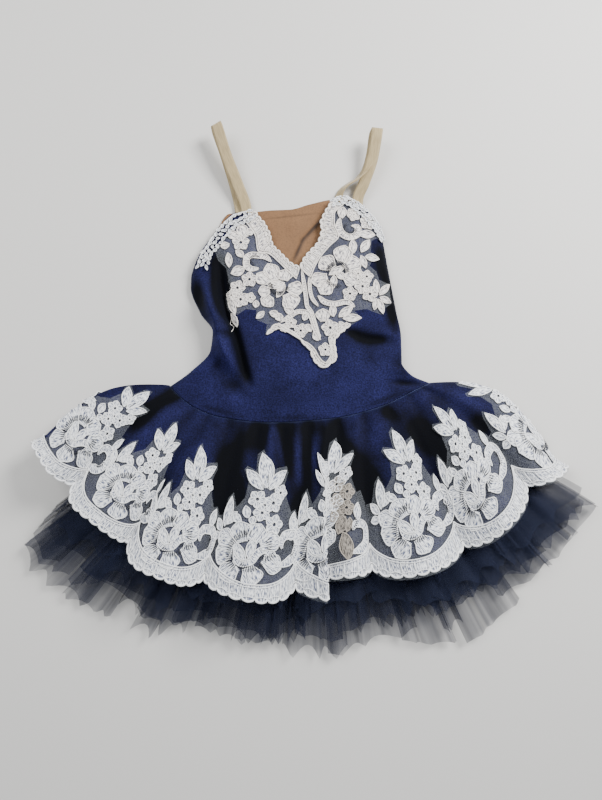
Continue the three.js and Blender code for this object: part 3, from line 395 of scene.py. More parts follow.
def shell(name, grid, thickness, material, slot, **attributes):
    """A closed thin shell whose outer face is a grid of points."""
    columns, rows = grid.shape[:2]
    under = grid - grid_normals(grid) * thickness
    under[..., 2] = np.maximum(under[..., 2], ABOVE_TABLE)
    count = columns * rows
    index = np.arange(count).reshape(columns, rows)
    rim = np.concatenate([index[:, 0], index[-1, 1:], index[-2::-1, -1], index[0, -2::-1]])
    rim_faces = np.stack([rim[:-1], rim[:-1] + count, rim[1:] + count, rim[1:]], -1)
    up = np.cross(grid[1, 0] - grid[0, 0], grid[0, 1] - grid[0, 0])[2] > 0
    faces = [*grid_faces(columns, rows, 0, not up), *grid_faces(columns, rows, count, up)]
    faces += list(rim_faces if up else rim_faces[:, ::-1])
    points = np.concatenate([grid.reshape(-1, 3), under.reshape(-1, 3)])
    doubled = {title: np.concatenate([v.reshape(count, -1).squeeze()] * 2) for title,
               v in attributes.items()}
    return new_piece(name, points, faces, material, doubled)


# %% [markdown]
# ## Skirt
# The skirt is one width of velvet gathered into the waist seam. Its front stands over the stiff
# tulle in flutes, one for each scallop of the lace. Two tables give it: where the seam and the hem
# run, and how high the hem stands. At both sides the cloth turns under along a fold.

# %% Sizes of the skirt
SEAM_TOP = 10.7
REPEATS = 8
REPEAT_WIDTH = 96
SKIRT_LENGTH = 150
HEM_HEIGHT = 34
FOLD_LEFT, FOLD_RIGHT = 0.28, 7.66
VELVET_THICK = 0.9
WAIST = table(
    "repeat x y",
    (0.28, -130, 37), (0.7, -122, 28.5), (1.5, -105, 15), (2.5, -78, 5), (3.5, -30, 0),
    (4.5, 30, 4), (5.5, 76, 15), (6.5, 110, 31), (7.66, 128, 40))
HEM = table(
    "repeat x y z",
    (0.28, -243, -16, 37), (0.42, -236, -23, 40), (0.62, -226, -35, 41), (0.85, -217, -50, 35),
    (1, -211, -60, 28), (1.12, -206, -68, 33), (1.5, -178, -84, 42), (1.85, -160, -103, 34),
    (2, -157, -111, 26), (2.1, -152, -119, 33), (2.5, -121, -128, 42), (2.85, -97, -140, 33),
    (3, -88, -143, 27), (3.15, -77, -143, 33), (3.5, -45, -146, 42), (3.85, -15, -151, 34),
    (4, -5, -151, 28), (4.12, 6, -149, 34), (4.3, 23, -146, 45), (4.38, 20, -140, 38),
    (4.46, 19, -134, 29), (4.56, 27, -131, 27), (4.75, 46, -130, 36), (4.9, 58, -133, 31),
    (5, 64, -134, 28), (5.15, 75, -132, 33), (5.5, 105, -124, 42), (5.85, 135, -118, 34),
    (6, 148, -114, 27), (6.15, 157, -106, 33), (6.5, 178, -86, 42), (6.85, 200, -68, 34),
    (7, 208, -60, 28), (7.15, 215, -54, 33), (7.4, 230, -44, 37), (7.66, 245, -35, 30))
SIDE_FOLDS = (
    {"bow": 17, "x": -105, "y": 18, "out": (-0.6, 0.8), "lift": 20, "reach": 55},
    {"bow": 26, "x": 118, "y": 30, "out": (0.53, 0.85), "lift": 6, "reach": 42})
FOLD_BASE = 6.1
TURNED_UNDER = 4.5
CURL = 1.6  # a lifted corner rises late
BOW_SHARE, BOW_ASIDE = 0.2, 0.3
RISE_SOON, RISE_LATE = 0.55, 1.1
FAN_OUT = 2.5  # a gather gets this much wider on its way to the hem
SEAM_FADE, SIDE_ROUND, UNDER_ROUND = 0.06, 0.45, 0.25


def corner_lift(x, y):
    """How far the skirt's lower corners lift off the table."""
    lifts = []
    for fold in SIDE_FOLDS:
        outward = (x - fold["x"]) * fold["out"][0] + (y - fold["y"]) * fold["out"][1]
        lifts.append(fold["lift"] * np.clip(outward / fold["reach"], 0, 1) ** CURL)
    return np.maximum(*lifts)


def side_bow(share, down):
    """The outward bow of the side folds."""
    hump = np.sin(np.pi * np.clip(down, 0, 1))
    left, right = (fold["bow"] * np.maximum(0, 1 - inward / BOW_SHARE) ** 2 * hump
                   for fold, inward in zip(SIDE_FOLDS, (share, 1 - share)))
    return np.stack([BOW_ASIDE * (right - left), left + right], -1)


# Small gathers below the seam: where each starts, how strong it is and how far down it runs.
GATHERS = records(
    "repeat width height reach",
    (0.9, 0.10, -1.6, 0.25), (1.6, 0.12, -2.2, 0.4), (2.15, 0.09, -2.0, 0.45), (2.75, 0.10, -3.0, 0.6),
    (3.1, 0.06, 1.6, 0.35), (3.3, 0.08, -3.0, 0.5), (3.55, 0.05, 1.8, 0.4), (3.72, 0.07, -3.2, 0.55),
    (3.95, 0.05, 1.8, 0.35), (4.12, 0.07, -3.0, 0.5), (4.4, 0.06, 1.8, 0.45), (4.62, 0.09, -3.4, 0.6),
    (4.95, 0.07, 1.6, 0.4), (5.15, 0.10, -2.6, 0.5), (5.7, 0.12, -2.4, 0.45), (6.3, 0.12, -2.0, 0.4),
    (6.95, 0.12, -1.6, 0.3))


def skirt_point(repeat, down):
    """A point of the skirt's outer face. Repeat counts scallops, down runs from seam to hem."""
    repeat, down = np.broadcast_arrays(np.asarray(repeat, float), np.asarray(down, float))
    beyond = np.maximum(FOLD_LEFT - repeat, 0) + np.maximum(repeat - FOLD_RIGHT, 0)
    shown = np.where(repeat < FOLD_LEFT, 2 * FOLD_LEFT - repeat, repeat)
    shown = np.where(repeat > FOLD_RIGHT, 2 * FOLD_RIGHT - repeat, shown)
    share = (shown - FOLD_LEFT) / (FOLD_RIGHT - FOLD_LEFT)
    hem = path(HEM, "repeat", shown, "xyz")
    plan = mix(path(WAIST, "repeat", shown), hem[..., :2], down[..., None]) + side_bow(share, down)
    rise = np.maximum(down, 0)
    full = SEAM_TOP + (HEM_HEIGHT - SEAM_TOP) * rise ** RISE_SOON
    full = full + (hem[..., 2] - HEM_HEIGHT) * rise ** RISE_LATE
    for gather in GATHERS:
        swell = gather["height"] * hill(shown - gather["repeat"], gather["width"] * (1 + FAN_OUT * rise))
        full = full + swell * soft_step(down, 0, SEAM_FADE) * (1 - soft_step(down, 0, gather["reach"]))
    folded = corner_lift(plan[..., 0], plan[..., 1]) + FOLD_BASE
    from_side = np.minimum(shown - FOLD_LEFT, FOLD_RIGHT - shown)
    roundness = np.sqrt(np.clip(from_side / SIDE_ROUND, 0, 1))
    height = mix(np.minimum(folded, full), full, roundness)
    under = np.minimum(folded, full) - TURNED_UNDER * np.sqrt(np.clip(beyond / UNDER_ROUND, 0, 1))
    return raised(plan, np.where(beyond > 0, under, height))


def skirt_normal(repeat, down):
    step = 0.004
    across = skirt_point(repeat + step, down) - skirt_point(repeat - step, down)
    along = skirt_point(repeat, down + step) - skirt_point(repeat, down - step)
    return unit(np.cross(along, across))


# Painted shade and painted highlight on the skirt: dark strokes, then shining ones, from end to end,
# how wide, and how strong.
SKIRT_PAINTED_STROKES = records(
    "x1 y1 x2 y2 width nap",
    (-49, -8, -74, -50, 11, -1.0), (-37, -3, -36, -31, 5, -0.8), (-11, -8, -12, -60, 7, -0.9),
    (5, -8, 6, -68, 5, -0.8), (26, -3, 22, -60, 8, -1.0), (40, -17, 51, -47, 10, -0.9),
    (-61, -80, -57, -60, 8, -0.8), (-1, -68, 1, -95, 10, -1.0), (58, -43, 67, -80, 14, -1.1),
    (-112, 38, -140, 15, 7, -1.0), (-140, 15, -159, -7, 6, -0.9), (-66, -45, -72, -88, 11, -1.1),
    (-121, -67, -126, -60, 6, -0.5), (-77, -109, -74, -83, 6, -0.7), (-157, 2, -138, 22, 6, -0.5),
    (103, 2, 134, -30, 12, -0.9), (134, -30, 146, -48, 9, -0.9), (101, 45, 118, 36, 5, -0.7),
    (162, 9, 177, -10, 7, -0.8), (75, 12, 92, 6, 6, -0.6), (-20, -100, -14, -118, 8, -0.6),
    (24, -66, 34, -100, 9, -0.9), (-60, -4, 40, -4, 9, -0.45),
    (-97, -17, -92, -47, 10, 0.4), (-52, -24, -47, -43, 6, 0.45), (-24, -8, -12, -61, 3, 0.5),
    (-4, -17, -1, -60, 4, 0.45), (14, -17, 11, -50, 3.5, 0.5), (69, -8, 73, -35, 9, 0.35),
    (-124, 20, -150, -22, 10, 0.4), (-72, -1, -69, -24, 8, 0.35), (-110, -30, -122, -52, 7, 0.35),
    (96, 18, 135, 30, 8, 0.4), (138, 18, 170, 2, 8, 0.4), (154, 28, 173, 12, 6, 0.35))
STROKE_END = 0.35  # how strong a stroke still is at its ends
# How much painted shade and painted highlight the skirt gets: its plain level, how much by flute height and
# by gathers, over which share down the gathers' part fades, and the most.
SKIRT_PAINTED_LIGHT = {"plain": 0.52, "flute": 0.05, "gather": 0.12, "fade": (0.1, 0.75), "most": 1.2}


def along_stroke(x, y, row):
    """How strongly a place lies on a hand-placed stroke, from 0 to 1."""
    ax, ay, bx, by, width = (row[name] for name in ("x1", "y1", "x2", "y2", "width"))
    length = math.hypot(bx - ax, by - ay)
    ux, uy = (bx - ax) / length, (by - ay) / length
    along = ((x - ax) * ux + (y - ay) * uy) / length
    aside = (x - ax) * uy - (y - ay) * ux
    past = np.maximum(np.abs(along - 0.5) - 0.5, 0) * length
    return hill(np.hypot(aside, past), width) * mix(STROKE_END, 1, np.sin(np.pi * np.clip(along, 0, 1)))


def skirt_painted_light(repeat, down):
    """Painted shade in the valleys between flutes and gathers, painted highlight on their ridges, and the
    painted strokes.
    """
    shown = np.clip(repeat, FOLD_LEFT, FOLD_RIGHT)
    flute = read(HEM, "repeat", "z", shown) - HEM_HEIGHT
    nap = SKIRT_PAINTED_LIGHT["plain"] + SKIRT_PAINTED_LIGHT["flute"] * flute * np.clip(down, 0, 1)
    for gather in GATHERS:
        near = hill(shown - gather["repeat"], gather["width"] * (1 + FAN_OUT * down))
        nap = nap + SKIRT_PAINTED_LIGHT["gather"] * gather["height"] * near * (1 - soft_step(down, *SKIRT_PAINTED_LIGHT["fade"]))
    x, y = np.moveaxis(skirt_point(repeat, down)[..., :2], -1, 0)
    for row in SKIRT_PAINTED_STROKES:
        nap = nap + row["nap"] * along_stroke(x, y, row)
    return np.clip(nap, 0.0, SKIRT_PAINTED_LIGHT["most"])


# %% Skirt front
share_grid, down_grid = unit_grid(300, 46)
repeat_grid = REPEATS * share_grid
skirt_front = shell("skirt_front_velvet", skirt_point(repeat_grid, down_grid), VELVET_THICK, VELVET,
                    "velvet",
                    nap=skirt_painted_light(repeat_grid, down_grid))
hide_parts("skirt_front")

# %% [markdown]
# ## Bodice
# The bodice's outline is four curves, and a patch is stretched between them. Its height follows
# the solid: a soft middle, folded sides, a deep crease down its left and a puffed roll beside it.

# %% Sizes of the bodice
BODICE_LEFT = table(
    "share x y", (0, -130, 37.3), (0.12, -110, 52), (0.28, -91, 73), (0.42, -89, 92),
    (0.6, -102, 112), (0.8, -113, 140), (0.9, -113, 151), (1, -105, 161))
BODICE_RIGHT = table(
    "share x y", (0, 128, 40.3), (0.12, 110, 48), (0.22, 101, 60), (0.4, 101, 86),
    (0.6, 97, 112), (0.8, 91, 150), (1, 85, 191))
NECK_LINE = table(
    "share x y", (0, -105, 161), (0.08, -96, 187), (0.15, -83, 206), (0.22, -67, 220),
    (0.27, -50, 220), (0.34, -41, 204), (0.39, -35, 187), (0.45, -23, 173.5), (0.5, -1.5, 157.5),
    (0.56, 7, 171), (0.62, 19, 186), (0.67, 24, 203), (0.72, 30, 221), (0.78, 44, 234),
    (0.85, 62, 229), (0.92, 77, 213), (1, 85, 191))
WAIST_SHARE = table(
    "share x y", (0, -130, 37.3), (0.0625, -124, 30.3), (0.1875, -105, 15.3), (0.3125, -78, 5.3),
    (0.4375, -30, 0.3), (0.5625, 30, 4.3), (0.6875, 76, 15.3), (0.8125, 110, 31.3), (1, 128, 40.3))
BODICE_HEIGHT, BODICE_EDGE, NECK_EDGE = 12, 2.9, 7
SIDE_EASE, WAIST_EASE, NECK_EASE = 0.1, 0.25, 0.72  # shares where its height starts to change
CREASE_LINE = table("y x", (28, -48), (57, -57), (94, -67), (110, -74), (150, -81), (180, -85))
CREASE = {"width": 4, "depth": 6.5, "low": 28, "high": 172, "rise": 25, "fall": 30}
ROLL = {"beside": 15, "width": 9, "height": 11, "low": 45, "high": 150, "rise": 25, "fall": 40}
# Soft creases: from one end to the other, how wide, and how high or deep.
# In the last column, below 0 is painted shade along the crease and above 0 is painted highlight.
CREASES = records(
    "x1 y1 x2 y2 width depth nap",
    (-108, 146, -102, 118, 5, -1.5, -0.7), (-86, 158, -80, 112, 8, -1.0, -0.9),
    (-96, 140, -90, 112, 4, 1.8, 0.35), (-92, 84, -68, 88, 4, -2.0, -0.5),
    (-92, 100, -66, 52, 5, 2.0, 0.4), (-74, 44, -58, 30, 8, -2.6, -0.8),
    (-112, 50, -84, 60, 7, 1.5, 0.3), (44, 92, 66, 84, 5.5, -2.6, -1.2), (60, 83, 88, 84, 6, -2.8, -1.3),
    (70, 90, 96, 86, 5, 1.8, 0.3), (88, 40, 118, 38, 3, -1.8, -0.7),
    (82, 53, 108, 50, 4, 1.0, 0.2), (-30, 60, 25, 35, 14, 0.8, 0.12),
    (79, 188, 88, 135, 10, -1.4, -1.1), (40, 60, 75, 45, 10, 0.8, 0.12),
    (-96, 16, -60, 6, 3, 0, -0.5), (-40, 4, 30, 5, 2.5, 0, -0.4), (60, 14, 110, 33, 3, 0, -0.5),
    (88, 138, 93, 94, 6.5, -0.6, -1.2), (97, 60, 101, 44, 5, 0, -0.4),
    (-104, 140, -93, 104, 6, -0.8, -0.7), (-80, 66, -84, 50, 5, -1.2, -0.6))


def bodice_plan(share, up):
    seam, top = path(WAIST_SHARE, "share", share), path(NECK_LINE, "share", share)
    left, right = path(BODICE_LEFT, "share", up), path(BODICE_RIGHT, "share", up)
    share, up = share[..., None], up[..., None]
    corner = {(0, 0): path(BODICE_LEFT, "share", 0.0), (0, 1): path(BODICE_LEFT, "share", 1.0),
              (1, 0): path(BODICE_RIGHT, "share", 0.0), (1, 1): path(BODICE_RIGHT, "share", 1.0)}
    plan = left * (1 - share) + right * share + seam * (1 - up) + top * up
    for (s, u), point in corner.items():
        plan = plan - point * (share if s else 1 - share) * (up if u else 1 - up)
    return plan


def within(y, band):
    return (soft_step(y, band["low"], band["low"] + band["rise"])
            * (1 - soft_step(y, band["high"] - band["fall"], band["high"])))


# Painted shade and painted highlight on the bodice: the plain level, painted shade in the deep crease,
# painted highlight on the roll, painted shade at the folded sides, and the most.
BODICE_PAINTED_LIGHT = {"plain": 0.8, "crease": 1.1, "roll": 0.15, "side": 0.35, "most": 1.1}
CREASE_SHADE_WIDTHS = (7, 10.5)  # the crease's dark band, at its lower and at its upper part
CREASE_SHADE_WIDENS = (95, 130)
CREASE_SHADE_END = 190
ROLL_HIGHLIGHT_WIDTH, SIDE_SHADE_WIDTH = 6, 0.03


def bodice_height(share, up, x, y):
    from_side = np.minimum(share, 1 - share)
    roundness = np.sqrt(1 - (1 - np.clip(from_side / SIDE_EASE, 0, 1)) ** 2)
    middle = mix(SEAM_TOP, BODICE_HEIGHT, soft_step(up, 0, WAIST_EASE))
    full = mix(middle, NECK_EDGE, soft_step(up, NECK_EASE, 1))
    crease_x = read(CREASE_LINE, "y", "x", y)
    full = full - CREASE["depth"] * within(y, CREASE) * hill(x - crease_x, CREASE["width"])
    full = full + ROLL["height"] * within(y, ROLL) * hill(x - crease_x + ROLL["beside"], ROLL["width"])
    for row in CREASES:
        full = full + row["depth"] * along_stroke(x, y, row)
    return np.maximum(BODICE_EDGE, mix(BODICE_EDGE, full, roundness))


# Painted shade in the deep crease and at the folded sides, painted highlight on the roll and along the
# creases.
def bodice_painted_light(share, up, x, y):
    crease_x = read(CREASE_LINE, "y", "x", y)
    band = hill(x - crease_x, mix(*CREASE_SHADE_WIDTHS, soft_step(y, *CREASE_SHADE_WIDENS)))
    nap = BODICE_PAINTED_LIGHT["plain"] - BODICE_PAINTED_LIGHT["crease"] * within(y, {**CREASE, "high": CREASE_SHADE_END}) * band
    nap = nap + BODICE_PAINTED_LIGHT["roll"] * hill(x - crease_x + ROLL["beside"], ROLL_HIGHLIGHT_WIDTH)
    nap = nap - BODICE_PAINTED_LIGHT["side"] * hill(np.minimum(share, 1 - share), SIDE_SHADE_WIDTH)
    for row in CREASES:
        nap = nap + row["nap"] * along_stroke(x, y, row)
    return np.clip(nap, 0, BODICE_PAINTED_LIGHT["most"])


# %% Bodice front
share_grid, up_grid = unit_grid(220, 150)
plan = bodice_plan(share_grid, up_grid)
height = bodice_height(share_grid, up_grid, plan[..., 0], plan[..., 1])
bodice_grid = raised(plan, height)
bodice_front = shell("bodice_front_velvet", bodice_grid, VELVET_THICK, VELVET, "velvet",
                     nap=bodice_painted_light(share_grid, up_grid, plan[..., 0], plan[..., 1]))
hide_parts("bodice_front")

# %% [markdown]
# ## Upper back of power mesh
# The neckline leaves the skin-coloured upper back open to view. It is one layer of mesh with its
# top edge turned in and stitched, and it has one long soft crease from the right strap down, with
# painted shade along it and a little painted highlight beside it.

# %% Power mesh back
YOKE_TOP = table(
    "share x y", (0, -104, 160), (0.08, -93, 188), (0.16, -76, 221), (0.3, -50, 223), (0.42, -32, 225),
    (0.52, -11, 226), (0.63, 10, 232), (0.74, 34, 237), (0.82, 48, 237), (0.91, 70, 214), (1, 82, 192))
YOKE_SEAM = {"left": (-106, 147), "right": (88, 147), "dip": 14}
MESH_THICK = 0.8
YOKE_HEIGHT = 2.0
# Creases of the mesh: from end to end, how wide, how high or deep, and in the last column painted shade
# below 0 and painted highlight above 0.
YOKE_CREASES_AND_PAINTED_LIGHT = records(
    "x1 y1 x2 y2 width depth nap", (24, 217, 1, 191, 2.2, 1.2, -1.3), (3, 194, -8, 168, 2.0, 1.0, -1.1),
    (14, 214, -10, 190, 5, -0.5, 0.25),
    (30, 224, 24, 200, 4.0, -0.4, -0.5), (-40, 215, 20, 222, 0.9, -0.3, -0.5),
    (-46, 200, -30, 186, 5, 0.3, -0.2))

share_grid, up_grid = unit_grid(120, 80)
seam_x = mix(YOKE_SEAM["left"][0], YOKE_SEAM["right"][0], share_grid)
seam_y = YOKE_SEAM["left"][1] - YOKE_SEAM["dip"] * np.sin(np.pi * share_grid)
plan = mix(np.stack([seam_x, seam_y], -1), path(YOKE_TOP, "share", share_grid), up_grid[..., None])
height = np.full(share_grid.shape, YOKE_HEIGHT)
yoke_painted_light = np.ones(share_grid.shape)
for row in YOKE_CREASES_AND_PAINTED_LIGHT:
    height = height + row["depth"] * along_stroke(plan[..., 0], plan[..., 1], row)
    yoke_painted_light = yoke_painted_light + row["nap"] * along_stroke(plan[..., 0], plan[..., 1], row)
yoke = shell("back_yoke_mesh", raised(plan, height), MESH_THICK, POWER_MESH, "mesh",
             nap=np.clip(yoke_painted_light, 0, 1.2))
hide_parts("back_yoke")

# %% [markdown]
# ## Straps
# Each strap is a loop of woven elastic that starts inside the front, stands up in one fold and
# comes back to the upper back. The right one is twisted on its way back, so its edge shows.

# %% Straps
STRAP_WIDTH, STRAP_THICK = 11.5, 1.1
STRAP_STEPS, STRAP_ACROSS = 90, 7
TOP_STEPS = 4  # round the top of the loop the side direction stays as it was just before
STRAP_LEFT = table(
    "at x y z twist", (0, -56.5, 214, 2.6, 0), (1, -57.5, 226, 4.8, 0), (3, -66, 250, 10, 0),
    (6, -78, 280, 16, 5), (8.6, -87.5, 309.5, 20.5, 12), (9.2, -89, 313.2, 18.4, 12),
    (9.8, -88.5, 309.5, 16, 12),
    (12, -79.8, 284, 10.6, 4), (15, -69.8, 252, 4.6, 0), (17, -64.8, 232, 2.6, 0),
    (18.4, -62.5, 218, 2.4, 0))
STRAP_RIGHT = table(
    "at x y z twist", (0, 58.5, 222, 2.6, 0), (1.3, 59.5, 236, 5, 0), (3, 66, 252, 9.5, 0),
    (5.4, 74.5, 276, 15, 0),
    (8, 79.4, 304.5, 20.5, 0), (8.6, 79.8, 308.2, 18.4, 0), (9.2, 77.6, 304.5, 16.2, -4),
    (11.1, 74, 284, 12.5, -24),
    (13, 67.5, 267, 10, -50), (14.3, 58.5, 256.5, 9, -58), (15.3, 49, 251, 8, -58),
    (16.2, 42.5, 245, 6.8, -54),
    (17.1, 38.5, 236, 5, -44), (17.8, 35.5, 228, 4, -30))


def strap(name, rows, node):
    at = np.linspace(0, rows["at"][-1], STRAP_STEPS)
    line = path(rows, "at", at, "xyz")
    twist = np.radians(read(rows, "at", "twist", at))
    tangent = unit(np.gradient(line, axis=0))
    top = int(np.argmax(line[:, 1]))
    step = np.arange(len(at))
    leg = tangent[:, :2] * np.where(step <= top, 1, -1)[:, None]
    leg[abs(step - top) < TOP_STEPS] = leg[top - TOP_STEPS - 1]
    leg = unit(leg)
    side = np.stack([leg[:, 1], -leg[:, 0], np.zeros(len(at))], -1)
    over = np.cross(side, tangent)
    side = side * np.cos(twist)[:, None] + over * np.sin(twist)[:, None]
    over = np.cross(side, tangent)
    across = np.linspace(-0.5, 0.5, STRAP_ACROSS) * STRAP_WIDTH
    face = line[:, None] + side[:, None] * across[None, :, None]
    half = over[:, None] * STRAP_THICK / 2
    ring = np.concatenate([face + half, (face - half)[:, ::-1]], 1)
    ring[..., 2] = np.maximum(ring[..., 2], 0.1)
    count = ring.shape[1]
    k, c = np.meshgrid(np.arange(len(at) - 1), np.arange(count), indexing="ij")
    beside = (c + 1) % count
    corners = [k * count + c, k * count + beside, (k + 1) * count + beside, (k + 1) * count + c]
    faces = np.stack([corner.ravel() for corner in corners], -1).tolist()
    last = (len(at) - 1) * count
    faces += [list(range(count))[::-1], list(range(last, last + count))]
    length = run(line)
    cut = np.zeros(ring.shape)
    cut[..., 0] = length[:, None]
    cut[..., 1] = np.concatenate([across, across[::-1]])[None]
    piece = new_piece(name, ring.reshape(-1, 3), faces, ELASTIC, {"cut": cut.reshape(-1, 3)})
    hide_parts(node)
    print(name, "is", round(length[-1]), "mm long")


strap("strap_left_elastic", STRAP_LEFT, "strap_left")
strap("strap_right_elastic", STRAP_RIGHT, "strap_right")

# %% [markdown]
# ## Velvet backs
# The backs of the bodice and of the skirt lie flat on the table, under the front. Nobody sees
# them, so they are plain velvet with a few soft creases, with painted highlight on the creases'
# tops and painted shade in their hollows.

# %% Velvet backs
BACK_INSET = 0.98
BACK_SIDES = (0.85, 0.8)  # how far up the front's side curves the back goes
BACK_HEM = table(
    "share x y", (0, -242, -17), (0.12, -207, -64), (0.26, -155, -108), (0.4, -75, -138), (0.5, 0, -144),
    (0.6, 75, -136), (0.74, 150, -108), (0.88, 205, -64), (1, 244, -36))
BACK_NECK = table("share x y", (0, -106, 147), (0.5, -9, 133), (1, 88, 147))


def bodice_back_plan(share, up):
    """Between the waist seam and the mesh, inside the front's side folds."""
    seam = path(WAIST_SHARE, "share", share)
    left, right = (path(side, "share", up * reach) for side,
                   reach in zip((BODICE_LEFT, BODICE_RIGHT), BACK_SIDES))
    top = path(BACK_NECK, "share", share)
    share, up = share[..., None], up[..., None]
    ends = mix(seam, top, up)
    sides = mix(left, right, share)
    corner_sides = mix(mix(path(WAIST_SHARE, "share", 0.0), path(BACK_NECK, "share", 0.0), up),
                       mix(path(WAIST_SHARE, "share", 1.0), path(BACK_NECK, "share", 1.0), up), share)
    return (ends + sides - corner_sides) * (BACK_INSET, 1) + (0, 0.6)


share_grid, up_grid = unit_grid(90, 60)
plan = bodice_back_plan(share_grid, up_grid)
wave = np.sin(share_grid * 21 + 3 * up_grid)
height = 1.3 + 0.25 * wave * np.sin(np.pi * up_grid)
# Painted highlight on the tops of the waves and painted shade in their hollows.
bodice_back = shell("bodice_back_velvet", raised(plan, height), VELVET_THICK, VELVET, "velvet",
                    nap=0.7 + 0.3 * wave)
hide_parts("bodice_back")


def back_gathers(share):
    """Uneven small gathers across the skirt's back, from -1 to 1."""
    return np.sin(share * 95 + 2 * np.sin(share * 17))


def skirt_back_point(share, down):
    plan = mix(path(WAIST_SHARE, "share", share), path(BACK_HEM, "share", share), down[..., None])
    plan = plan + 0.95 * side_bow(share, down)
    height = 1.2 + 2.0 * soft_step(down, 0.02, 0.1) + corner_lift(plan[..., 0], plan[..., 1])
    gathers = 0.35 * back_gathers(share) * (1 - soft_step(down, 0.1, 0.9))
    return raised(plan - (0, 0.3), height + gathers * soft_step(down, 0.03, 0.12))


share_grid, down_grid = unit_grid(200, 40)
# Painted highlight on the tops of the gathers and painted shade between them.
skirt_back = shell("skirt_back_velvet", skirt_back_point(share_grid, down_grid), VELVET_THICK, VELVET,
                   "velvet",
                   nap=0.6 + 0.4 * back_gathers(share_grid))
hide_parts("skirt_back")

# %% [markdown]
# ## Tulle underskirt
# Each layer is a strip of tulle gathered to many times its width, so at the edge it fans out into
# narrow pleated tongues of uneven length. Each tongue is made as its own fan of small pleats that
# overlaps the next, and all the tongues of a layer are joined.

# %% Tulle layers
TULLE_EDGE = table(
    "share x y", (0, -240, -84), (0.06, -262, -117), (0.13, -226, -150), (0.21, -172, -174),
    (0.28, -133, -194), (0.37, -80, -198), (0.47, -26, -211), (0.55, 17, -210), (0.63, 62, -203),
    (0.73, 125, -197), (0.82, 171, -180), (0.9, 217, -153), (0.95, 250, -122), (1, 288, -77))
SHEETS = (
    {"name": "tulle_outer_back", "level": 0, "length": 0.98, "tongues": 13, "seed": 3},
    {"name": "tulle_inner_back", "level": 1, "length": 1.06, "tongues": 15, "seed": 5},
    {"name": "tulle_inner_front", "level": 2, "length": 1.0, "tongues": 17, "seed": 8},
    {"name": "tulle_outer_front", "level": 3, "length": 0.9, "tongues": 14, "seed": 13})
WAIST_X = {"x": WAIST_SHARE["x"], "y": WAIST_SHARE["y"]}
TULLE_WAIST = 103  # half the width of its gathered top
DROP_FROM = 0.82  # from here on the edge sinks
LAYER_STEP = {"waist": 1.5, "edge": 5.4, "by": 0.55, "drop": 0.8}
LOWEST_LAYER = {"waist": 4.1, "edge": 6.4, "by": 0.35, "drop": 3.5}
PLEATS, PLEAT_STEPS, TULLE_ROWS = 3, 8, 14
UNEVEN = {"edges": 0.42, "overlap": (-0.08, 0.4), "short": 0.1, "slant": 0.06, "point": 0.07,
          "wander": 0.0875}
PLEAT_DEPTH, NET_GAP = 0.38, 1.2
TULLE_CUT = (620, 200)


def tulle_point(level, share, down):
    """The plan of a layer, its height, and its step to the next layer."""
    waist_x = mix(-TULLE_WAIST, TULLE_WAIST, share)
    waist = np.stack([waist_x, read(WAIST_X, "x", "y", waist_x) - 2], -1)
    plan = mix(waist, path(TULLE_EDGE, "share", share), down[..., None])
    dropped = soft_step(down, DROP_FROM, 1)
    step = mix(LAYER_STEP["waist"], LAYER_STEP["edge"], soft_step(down, 0, LAYER_STEP["by"]))
    step = step - LAYER_STEP["drop"] * dropped
    settled = 1 - (1 - np.clip(down / LOWEST_LAYER["by"], 0, 1)) ** 2
    lowest = mix(LOWEST_LAYER["waist"], LOWEST_LAYER["edge"], settled) - LOWEST_LAYER["drop"] * dropped
    return plan, lowest + level * step + 0.5, step


def make_tulle_layer(sheet):
    rng = np.random.default_rng(sheet["seed"])
    points, faces, cut = [], [], []
    edges = np.linspace(0, 1, sheet["tongues"] + 1)
    edges[1:-1] += rng.uniform(-UNEVEN["edges"], UNEVEN["edges"], sheet["tongues"] - 1) / sheet["tongues"]
    for low, high in zip(edges[:-1], edges[1:]):
        overlap = rng.uniform(*UNEVEN["overlap"]) * (high - low)
        low, high = max(0, low - overlap), min(1, high + overlap)
        length = sheet["length"] * (1 - rng.uniform(0, UNEVEN["short"]))
        slant = rng.uniform(-UNEVEN["slant"], UNEVEN["slant"])
        f_grid, down_grid = unit_grid(PLEATS * PLEAT_STEPS + 1, TULLE_ROWS)
        down_grid = down_grid ** 0.8
        points_in = UNEVEN["point"] * rng.random() * np.abs(np.sin(np.pi * (f_grid * PLEATS + rng.random())))
        along = down_grid * (length + slant * (f_grid - 0.5) - points_in)
        wander = UNEVEN["wander"] / sheet["tongues"]
        wander = wander * np.sin(2 * np.pi * (f_grid * PLEATS * 0.5 + rng.random()))
        share = np.clip(mix(low, high, f_grid) + wander, 0, 1)
        plan, height, step = tulle_point(sheet["level"], share, along)
        wave = np.sin(2 * np.pi * (f_grid * PLEATS + rng.random() + 0.15 * np.sin(7 * down_grid)))
        height = height + PLEAT_DEPTH * (step - NET_GAP) * wave
        first = sum(len(p) for p in points)
        points.append(raised(plan, np.maximum(height, 0.4)).reshape(-1, 3))
        faces.extend(grid_faces(*f_grid.shape, first))
        across = (mix(low, high, f_grid) * TULLE_CUT[0] + rng.uniform(0, 500)).ravel()
        cut.append(np.stack([across, along.ravel() * TULLE_CUT[1], np.zeros(along.size)], -1))
    piece = new_piece(sheet["name"] + "_net", np.concatenate(points), faces, TULLE,
                      {"cut": np.concatenate(cut)})
    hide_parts(sheet["name"])
    return piece


tulle_layers = [make_tulle_layer(sheet) for sheet in SHEETS]

# %% [markdown]
# ## Lace
# Every petal, leaf and scroll of the lace is a blade: a spine with a half width at each of its
# points. The blade's two edges carry the cord, and the grid between them is the satin fill. A
# blade is drawn flat, in the lace's own millimetres, and a lay function puts it onto the cloth.


